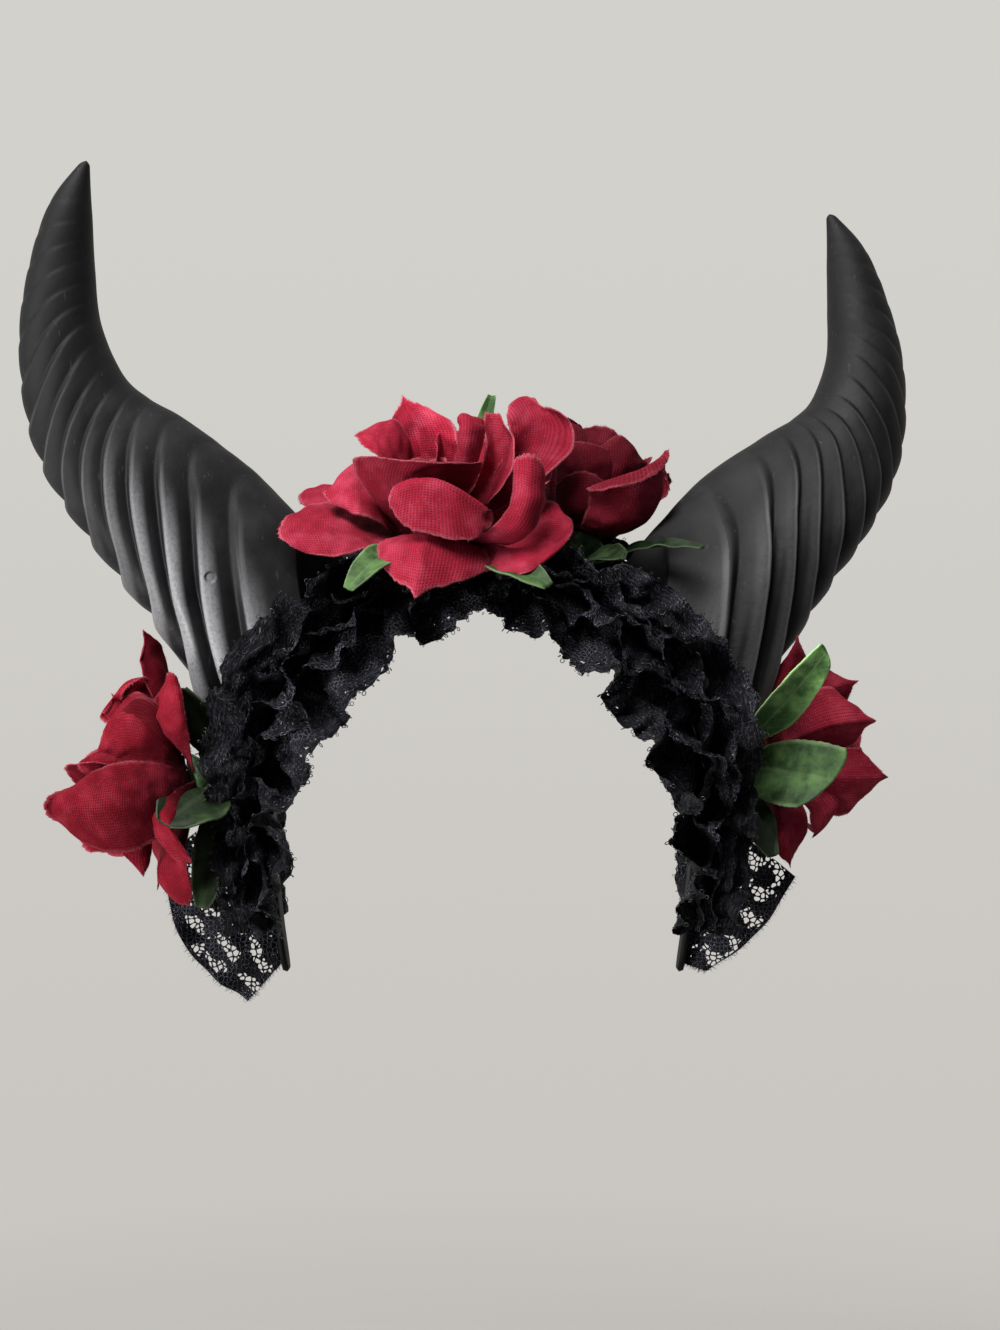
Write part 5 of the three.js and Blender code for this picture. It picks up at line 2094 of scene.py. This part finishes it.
@dataclass(frozen=True)
class Rose:
    """A cloth rose on a stem: a moulded calyx, three rings of pressed petals and a rolled heart.

    Spans of rows count from a root at 0 to a rim at 1, and spans of sides from the middle to an edge.
    """

    name: str
    seat_arc: float
    y: float
    axis: Place
    clock: Place
    stem: float
    bud_height: float
    bud_outer: float
    bloom: tuple[Petal, ...]
    backs: dict[Ring, tuple[float, ...]]
    petal: PetalFinish
    fray: ThreadFinish
    slot: str
    seed: int
    stem_radius: float = 3.0
    cup_radius: float = 9.4
    cup_height: float = 8.0
    cup_columns: int = 30
    cup_lobes: int = 5
    cup_lobe_depth: float = 0.05
    cup_flat: float = 8.0
    cup_swell: Span = (0.72, 0.62)
    cup_rim: float = 2.0
    cup_edge: float = 0.2
    cup_inset: float = 1.0
    stem_waist: Span = (0.92, 0.4)
    axis_radius: float = 0.02
    gap: float = 0.3
    cloth: float = 1.0
    petal_thickness: float = 0.4
    petal_rows: int = 40
    petal_columns: int = 27
    petal_numbers: int = 10
    petal_seeds: int = 100
    fray_row: int = 8
    fray_closeness: int = 3
    spike: float = 0.05
    spike_width: float = 0.12
    ragged: float = 0.008
    ragged_pitch: float = 1.4
    ragged_span: float = 9.0
    ragged_rows: Span = (0.8, 1.0)
    corner_powers: Span = (5.0, 8.0)
    roll_sides: Span = (0.5, 1.0)
    roll_power: float = 1.4
    roll_rows: Span = (0.25, 0.7)
    swell: Wave = Wave(0.5, 3.6, 0.0)
    sway: Wave = Wave(0.35, 3.0, 5.0)
    sway_rows: Span = (0.25, 1.0)
    ruck: Wave = Wave(0.3, 11.0, 4.0)
    ruck_rows: Span = (0.3, 0.9)
    crumple: float = 0.25
    crumple_pitch: float = 9.0
    crumple_rows: Span = (0.1, 0.4)
    rim_sides: Span = (0.95, 1.0)
    rim_side_rows: Span = (0.2, 0.4)
    rim_rows: Span = (0.975, 1.0)
    shades: Span = (0.9, 1.05)
    bud_rows: int = 120
    bud_columns: int = 18
    bud_turns: float = 2.6
    bud_inner: float = 1.1
    bud_flare: float = 1.25
    bud_lip: float = 0.9
    bud_lip_rows: Span = (0.82, 1.0)
    bud_dip: float = 0.12
    bud_dip_turns: float = 1.5
    bud_sink: float = 0.14
    bud_shade: float = 0.9
    bud_length: float = 60.0
    bud_closeness: int = 2
    opening: float = 1.0
    # Painted light and shade over the whole rose.
    shade: float = 1.0

    def facing(self) -> Grid:
        """The way that the rose looks."""
        return unit(np.array(self.axis))

    def foot(self) -> Grid:
        """Where the stem stands on the band."""
        _, out = BAND.line(np.array(self.seat_arc))
        tilt = self.stem_radius * np.linalg.norm(np.cross(self.facing(), out))
        return BAND.off(self.seat_arc, BAND.thickness + self.gap + tilt, self.y)

    def pose(self) -> Grid:
        """The rose's own axes as columns: where its clock starts, a quarter turn on, and its facing."""
        facing = self.facing()
        start = np.array(self.clock)
        start = unit(start - facing * (start @ facing))
        return np.stack([start, np.cross(facing, start), facing], axis=1)

    def build(self, fibres: SproutTree) -> None:
        """Makes the rose's pieces and seats them."""
        self._calyx()
        rims: list[Rim] = []
        step = self.cloth + self.gap
        for i, ring in enumerate(Ring):
            self._ring(ring, self.stem + self.gap + i * step, rims)
        self._bud(self.stem + self.gap + len(Ring) * step, rims)
        spots, aims = (np.concatenate(part) for part in zip(*rims))
        fibres.sprout(
            f"{self.name}_frayed_threads", (spots, aims), PETAL_FRAY, self.fray, self.slot, self.seed
        )

    def _ring(self, ring: Ring, height: float, rims: list[Rim]) -> None:
        """Makes a ring of petals.

        Args:
            ring: Which ring it is.
            height: How far up the stem it sits.
            rims: Collects the points of the petals' edges and the ways they point.
        """
        skins = []
        base = self.foot() + self.facing() * height
        petals = [petal for petal in self.bloom if petal.ring is ring]
        petals += [Petal.unseen(ring, base, self.pose(), around, self.opening) for around in self.backs[ring]]
        for i, petal in enumerate(petals):
            points, flat, marks = self._petal(petal, base, i + int(self.petal_numbers * ring.root))
            skins.append(Skin.from_grid(points, flat, marks))
            free = points[self.fray_row :]
            edges = ((points[-1], points[-3]), (free[:, 0], free[:, 2]), (free[:, -1], free[:, -3]))
            for edge, inside in edges:
                rims.append((closer(edge, self.fray_closeness), closer(edge - inside, self.fray_closeness)))
        made = Skin.joined(skins).to_object(f"{self.name}_{ring.label}_cloth", self.petal)
        thicken(made, self.petal_thickness)
        seat(made, self.slot, f"{self.name}_{ring.label}_petals")

    def _petal(self, row: Petal, base: Grid, index: int) -> tuple[Grid, Grid, dict[str, Grid]]:
        """One petal in the frame, with its waves, rolled sides and cut rim.

        Args:
            row: The petal's row of the table.
            base: The middle of its ring's root.
            index: Its own number in the rose.

        Returns:
            The points, their flat places and their named values.
        """
        dice = np.random.default_rng(self.seed * self.petal_seeds + index)
        u, c = lattice(np.linspace(0, 1, self.petal_rows), np.linspace(-1, 1, self.petal_columns))
        side = np.abs(c)
        s = self._cut(row, u, c, index)
        points, faces, length = row.cloth(row.net(base, self.facing()), s, c)
        half = 0.5 * np.linalg.norm(np.subtract(row.right, row.left))
        flat = np.stack([c * half, s * length], axis=-1)
        roll = np.where(c < 0, row.roll_left, row.roll_right)
        rolled = roll * smooth(*self.roll_sides, side) ** self.roll_power * smooth(*self.roll_rows, s)
        phase = dice.uniform(0, FULL_TURN, 3)
        sway = self.sway.at(c, s, phase[1]) * smooth(*self.sway_rows, s)
        wave = self.swell.at(c, s, phase[0]) * s**2 + sway
        ruck = self.ruck.at(c, s, phase[2]) * smooth(*self.roll_sides, side) * smooth(*self.ruck_rows, s)
        crumple = self.crumple * ripple(flat, self.crumple_pitch, self.seed + index)
        lift = wave + ruck + crumple * smooth(*self.crumple_rows, s) - rolled
        points = points + faces * lift[..., None]
        sides = smooth(*self.rim_sides, side) * smooth(*self.rim_side_rows, u)
        # Painted light and shade of the rose and of the petal, times a random tone.
        shade = self.shade * row.shade * dice.uniform(*self.shades)
        marks = {
            "depth": s,
            "rim": np.maximum(sides, smooth(*self.rim_rows, u)),
            "shade": np.full_like(s, shade),
        }
        return points, flat, marks

    def _cut(self, row: Petal, u: Grid, c: Grid, index: int) -> Grid:
        """The shares of a petal's length that its rows reach, with rounded corners, a spike and a ragged rim.

        Args:
            row: The petal's row of the table.
            u: Its rows, from 0 at the root to 1 at the rim.
            c: Places across it, from -1 to 1.
            index: Its own number in the rose.

        Returns:
            A share for each point.
        """
        spike = self.spike * row.point
        spots = np.stack([u, c], axis=-1) * self.ragged_span
        ragged = self.ragged * ripple(spots, self.ragged_pitch, self.seed + index)
        ragged = ragged * smooth(*self.ragged_rows, u)
        blunt, sharp = self.corner_powers
        cut = 1 - row.corner * np.abs(c) ** (blunt - sharp * row.corner)
        cut = cut + spike * np.exp(-((c / self.spike_width) ** 2)) + ragged
        return np.clip(u * cut / (1 + spike), 0, 1)

    def _bud(self, height: float, rims: list[Rim]) -> None:
        """Makes the heart: one strip of cloth rolled into a flaring spiral."""
        u, v = lattice(np.linspace(0, 1, self.bud_rows), np.linspace(0, 1, self.bud_columns))
        angle = u * self.bud_turns * FULL_TURN
        radius = self.bud_inner + (self.bud_outer - self.bud_inner) * u
        radius = radius * (1 + (self.bud_flare - 1) * v**2) + self.bud_lip * smooth(*self.bud_lip_rows, v) * u
        dip = 1 - self.bud_dip + self.bud_dip * np.cos(angle * self.bud_dip_turns)
        rise = self.bud_height * dip * v * (1 - self.bud_sink + self.bud_sink * u)
        points = np.stack([radius * np.cos(angle), radius * np.sin(angle), rise + height], axis=-1)
        points = points @ self.pose().T + self.foot()
        flat = np.stack([u * self.bud_length, rise], axis=-1)
        shade = np.full_like(u, self.bud_shade * self.shade)
        marks = {"depth": v, "rim": smooth(*self.rim_sides, v), "shade": shade}
        made = Skin.from_grid(points, flat, marks).to_object(f"{self.name}_rolled_heart", self.petal)
        thicken(made, self.petal_thickness)
        edge, inside = points[:, -1], points[:, -3]
        rims.append((closer(edge, self.bud_closeness), closer(edge - inside, self.bud_closeness)))
        seat(made, self.slot, f"{self.name}_bud")

    def _calyx(self) -> None:
        """Makes the moulded calyx on its stem."""
        profile = np.array([
            (self.axis_radius, 0.0),
            (self.stem_radius, 0.0),
            (self.stem_radius * self.stem_waist[0], self.stem * self.stem_waist[1]),
            (self.stem_radius, self.stem - self.cup_height),
            (self.cup_radius * self.cup_swell[0], self.stem - self.cup_height * self.cup_swell[1]),
            (self.cup_radius, self.stem - self.cup_rim),
            (self.cup_radius, self.stem - self.cup_edge),
            (self.cup_radius - self.cup_inset, self.stem),
            (self.axis_radius, self.stem),
        ])
        turn = np.linspace(0, FULL_TURN, self.cup_columns, endpoint=False)
        radius = profile[:, :1] * (1 + self.cup_lobe_depth * np.cos(self.cup_lobes * turn))
        height = np.broadcast_to(profile[:, 1:], radius.shape)
        points = np.stack([radius * np.cos(turn), radius * np.sin(turn), height], axis=-1)
        points = points @ self.pose().T + self.foot()
        flat = np.stack([np.broadcast_to(turn * self.cup_flat, radius.shape), height], axis=-1)
        skin = Skin.from_grid(points, flat, {}, ring=True)
        made = skin.to_object(f"{self.name}_cup", CALYX_GREEN, closed=True)
        seat(made, "calyx_green", f"{self.name}_calyx")


def closer(line: Grid, times: int) -> Grid:
    """A line of points with more points between them."""
    place = np.linspace(0, len(line) - 1, (len(line) - 1) * times + 1)
    return np.stack([np.interp(place, np.arange(len(line)), line[:, axis]) for axis in range(3)], axis=1)


UPWARD = (0.0, 0.0, 1.0)
RIGHTWARD = (1.0, 0.0, 0.0)
ROSES = (
    Rose(
        "rose_front", -17, 0.0, (-0.06, -0.54, 0.84), RIGHTWARD, 18.0, 27.54, 4.9,
        FRONT_BLOOM, {Ring.OUTER: (84, 30), Ring.MIDDLE: (), Ring.INNER: ()},
        PETAL_RED, FRAY_RED, "petal_red", 5, bud_flare=1.9, shade=0.86,
    ),
    Rose(
        "rose_second", 30, 7.8, (0.19, 0.48, 0.86), RIGHTWARD, 20.5, 25.92, 5.6,
        SECOND_BLOOM, {Ring.OUTER: (165, 96, 34), Ring.MIDDLE: (40, 130), Ring.INNER: (280, 40, 160)},
        PETAL_WINE, FRAY_WINE, "petal_wine", 6, opening=0.45, shade=0.85,
    ),
    Rose(
        "rose_left", -109, -2.0, (-0.93, -0.28, -0.2), UPWARD, 27.0, 28.08, 4.9,
        LEFT_BLOOM, {Ring.OUTER: (130, 60), Ring.MIDDLE: (100,), Ring.INNER: (30, 150)},
        PETAL_DEEP, FRAY_RED, "petal_red", 7, shade=0.78,
    ),
    Rose(
        "rose_right", 110, 2.0, (0.86, 0.5, 0.0), UPWARD, 24.0, 24.3, 4.9,
        RIGHT_BLOOM, {Ring.OUTER: (250, 310), Ring.MIDDLE: (230, 320), Ring.INNER: (20, 140, 260)},
        PETAL_WINE, FRAY_WINE, "petal_wine", 8, shade=1.68,
    ),
)


# Leaves


@dataclass(frozen=True)
class Leaf:
    """A cloth leaf from a rose's stem, folded along its midrib and bent back along its length.

    Spans of sides count from the midrib at 0 to the edge at 1.
    """

    name: str
    rose: int
    up: float
    tip: Place
    face: Place
    half: float
    bend: float
    stalk: float
    # Painted light and shade on the leaf: brighter where it lies in light, dark where it stands in for
    # shadow.
    shade: float
    seed: int
    blunt: float = 0.0
    notch_slant: float = 0.13
    notch_corner: float = 0.06
    notch_power: int = 6
    fold: float = 0.28
    fold_power: float = 1.2
    thickness: float = 0.6
    stalk_half: float = 0.9
    root_width: float = 0.02
    tip_width: float = 0.94
    blunt_width: float = 0.36
    outline_power: float = 0.8
    teeth: int = 13
    tooth_depth: float = 0.05
    tooth_rows: Span = (0.05, 0.2)
    tooth_side: float = 0.97
    wave_height: float = 0.5
    wave_pitch: float = 12.0
    rim_sides: Span = (0.9, 1.0)
    rows: int = 50
    columns: int = 17

    def build(self) -> None:
        """Makes the leaf and seats it."""
        rose = ROSES[self.rose]
        facing = rose.facing()
        on_stem = rose.foot() + facing * self.up
        aside = np.array(self.tip) - on_stem
        aside = unit(aside - facing * (aside @ facing))
        root = on_stem + aside * (rose.stem_radius + 3 * rose.gap)
        chord = np.array(self.tip) - root
        sag = math.radians(self.bend)
        length = np.linalg.norm(chord) * sag / (2 * math.sin(sag / 2))
        forward = unit(chord)
        across = unit(np.cross(np.array(self.face), forward))
        over = unit(np.cross(forward, across))
        u, c = lattice(np.linspace(0, 1, self.rows), np.linspace(-1, 1, self.columns))
        side = np.abs(c)
        notch = self.blunt * (self.notch_slant * (1 - c) + self.notch_corner * side**self.notch_power)
        turn = np.full_like(u, sag / 2)
        along, rise = bent_strip(turn, -turn, length, u * (1 - notch))
        blade = np.clip((u - self.stalk) / (1 - self.stalk), 0, 1)
        width = self._width(blade, side)
        wavy = ripple(np.stack([u * length, c * self.half], axis=-1), self.wave_pitch, self.seed)
        lift = rise + self.fold * width * side**self.fold_power + self.wave_height * wavy * side
        points = root + forward * along[..., None] + over * lift[..., None] + across * (width * c)[..., None]
        flat = np.stack([width * c, u * length], axis=-1)
        marks = {
            "depth": blade,
            "side": side,
            "rim": smooth(*self.rim_sides, side),
            "shade": np.full_like(u, self.shade),
        }
        made = Skin.from_grid(points, flat, marks).to_object(f"{self.name}_blade", LEAF_GREEN)
        thicken(made, self.thickness)
        seat(made, "leaf_green", self.name)

    def _width(self, blade: Grid, side: Grid) -> Grid:
        """Half the leaf's width along its blade, toothed at the very edge."""
        reach = self.tip_width - self.blunt_width * self.blunt
        swell = np.sin(math.pi * (self.root_width + reach * blade**self.outline_power)) ** self.outline_power
        width = self.stalk_half + (self.half - self.stalk_half) * swell
        saw = np.abs(((blade * self.teeth) % 1.0) - 0.5)
        teeth = 1 + self.tooth_depth * saw * smooth(*self.tooth_rows, blade)
        return width * np.where(side > self.tooth_side, teeth, 1.0)


# The ninth value of each leaf is its painted light and shade.
LEAVES = (
    Leaf("leaf_front_left", 0, 9, (-46, -46, 0), (0, -0.6, 0.8), 6, 85, 0.4, 0.95, 1),
    Leaf("leaf_front_right", 0, 9, (23, -46, 1), (0, -0.6, 0.8), 7, 45, 0.4, 0.7, 2),
    Leaf("leaf_top", 0, 3, (3, 38, 70), (0, -1, 0.2), 4, -60, 0.5, 2, 3),
    Leaf("leaf_second_right", 1, 6, (78, -20, 14), (0, -0.4, 0.9), 3.5, 40, 0.3, 0.3, 4),
    Leaf("leaf_second_low", 1, 8, (50, -26, 10), (0.1, -0.8, 0.6), 7, 25, 0.2, 0.28, 5),
    Leaf("leaf_right_upper", 3, 9, (123, -26, -20), (0.3, -0.9, 0), 7, 30, 0.25, 2.5, 6, 0.35),
    Leaf("leaf_right_lower", 3, 14, (130, -25, -70), (0, -0.95, 0.2), 12.5, 35, 0.1, 0.75, 7, 1.0),
    Leaf("leaf_right_bottom", 3, 9, (104, -16, -97), (0.4, -0.9, 0), 7, 20, 0.2, 0.25, 8),
    Leaf("leaf_left_upper", 2, 10, (-107, -20, -36), (-0.5, -0.85, 0), 9.5, 20, 0.1, 0.2, 9),
    Leaf("leaf_left_mid", 2, 14, (-112, -33, -83), (-0.2, -0.9, 0.4), 13.5, 10, 0.2, 0.26, 10),
    Leaf("leaf_left_lower", 2, 10, (-101, -14, -116), (-0.4, -0.9, 0), 9, 10, 0.05, 0.24, 11),
)


def main() -> None:
    """Builds the studio and every piece in order."""
    logging.basicConfig(level=logging.INFO, format="%(message)s")
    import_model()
    Studio().build()
    BAND.build()
    ribs = RibTree()
    for horn in HORNS:
        horn.build(ribs)
    cords = CordTree()
    loops = SproutTree(Sprout.LOOP)
    stitches = SproutTree(Sprout.STITCH)
    for ruffle in RUFFLES:
        ruffle.build(cords, loops, stitches)
    fibres = SproutTree(Sprout.FIBRE)
    for tail in TAILS:
        tail.build(fibres)
    for rose in ROSES:
        rose.build(fibres)
    for leaf in LEAVES:
        leaf.build()


if __name__ == "__main__":
    main()
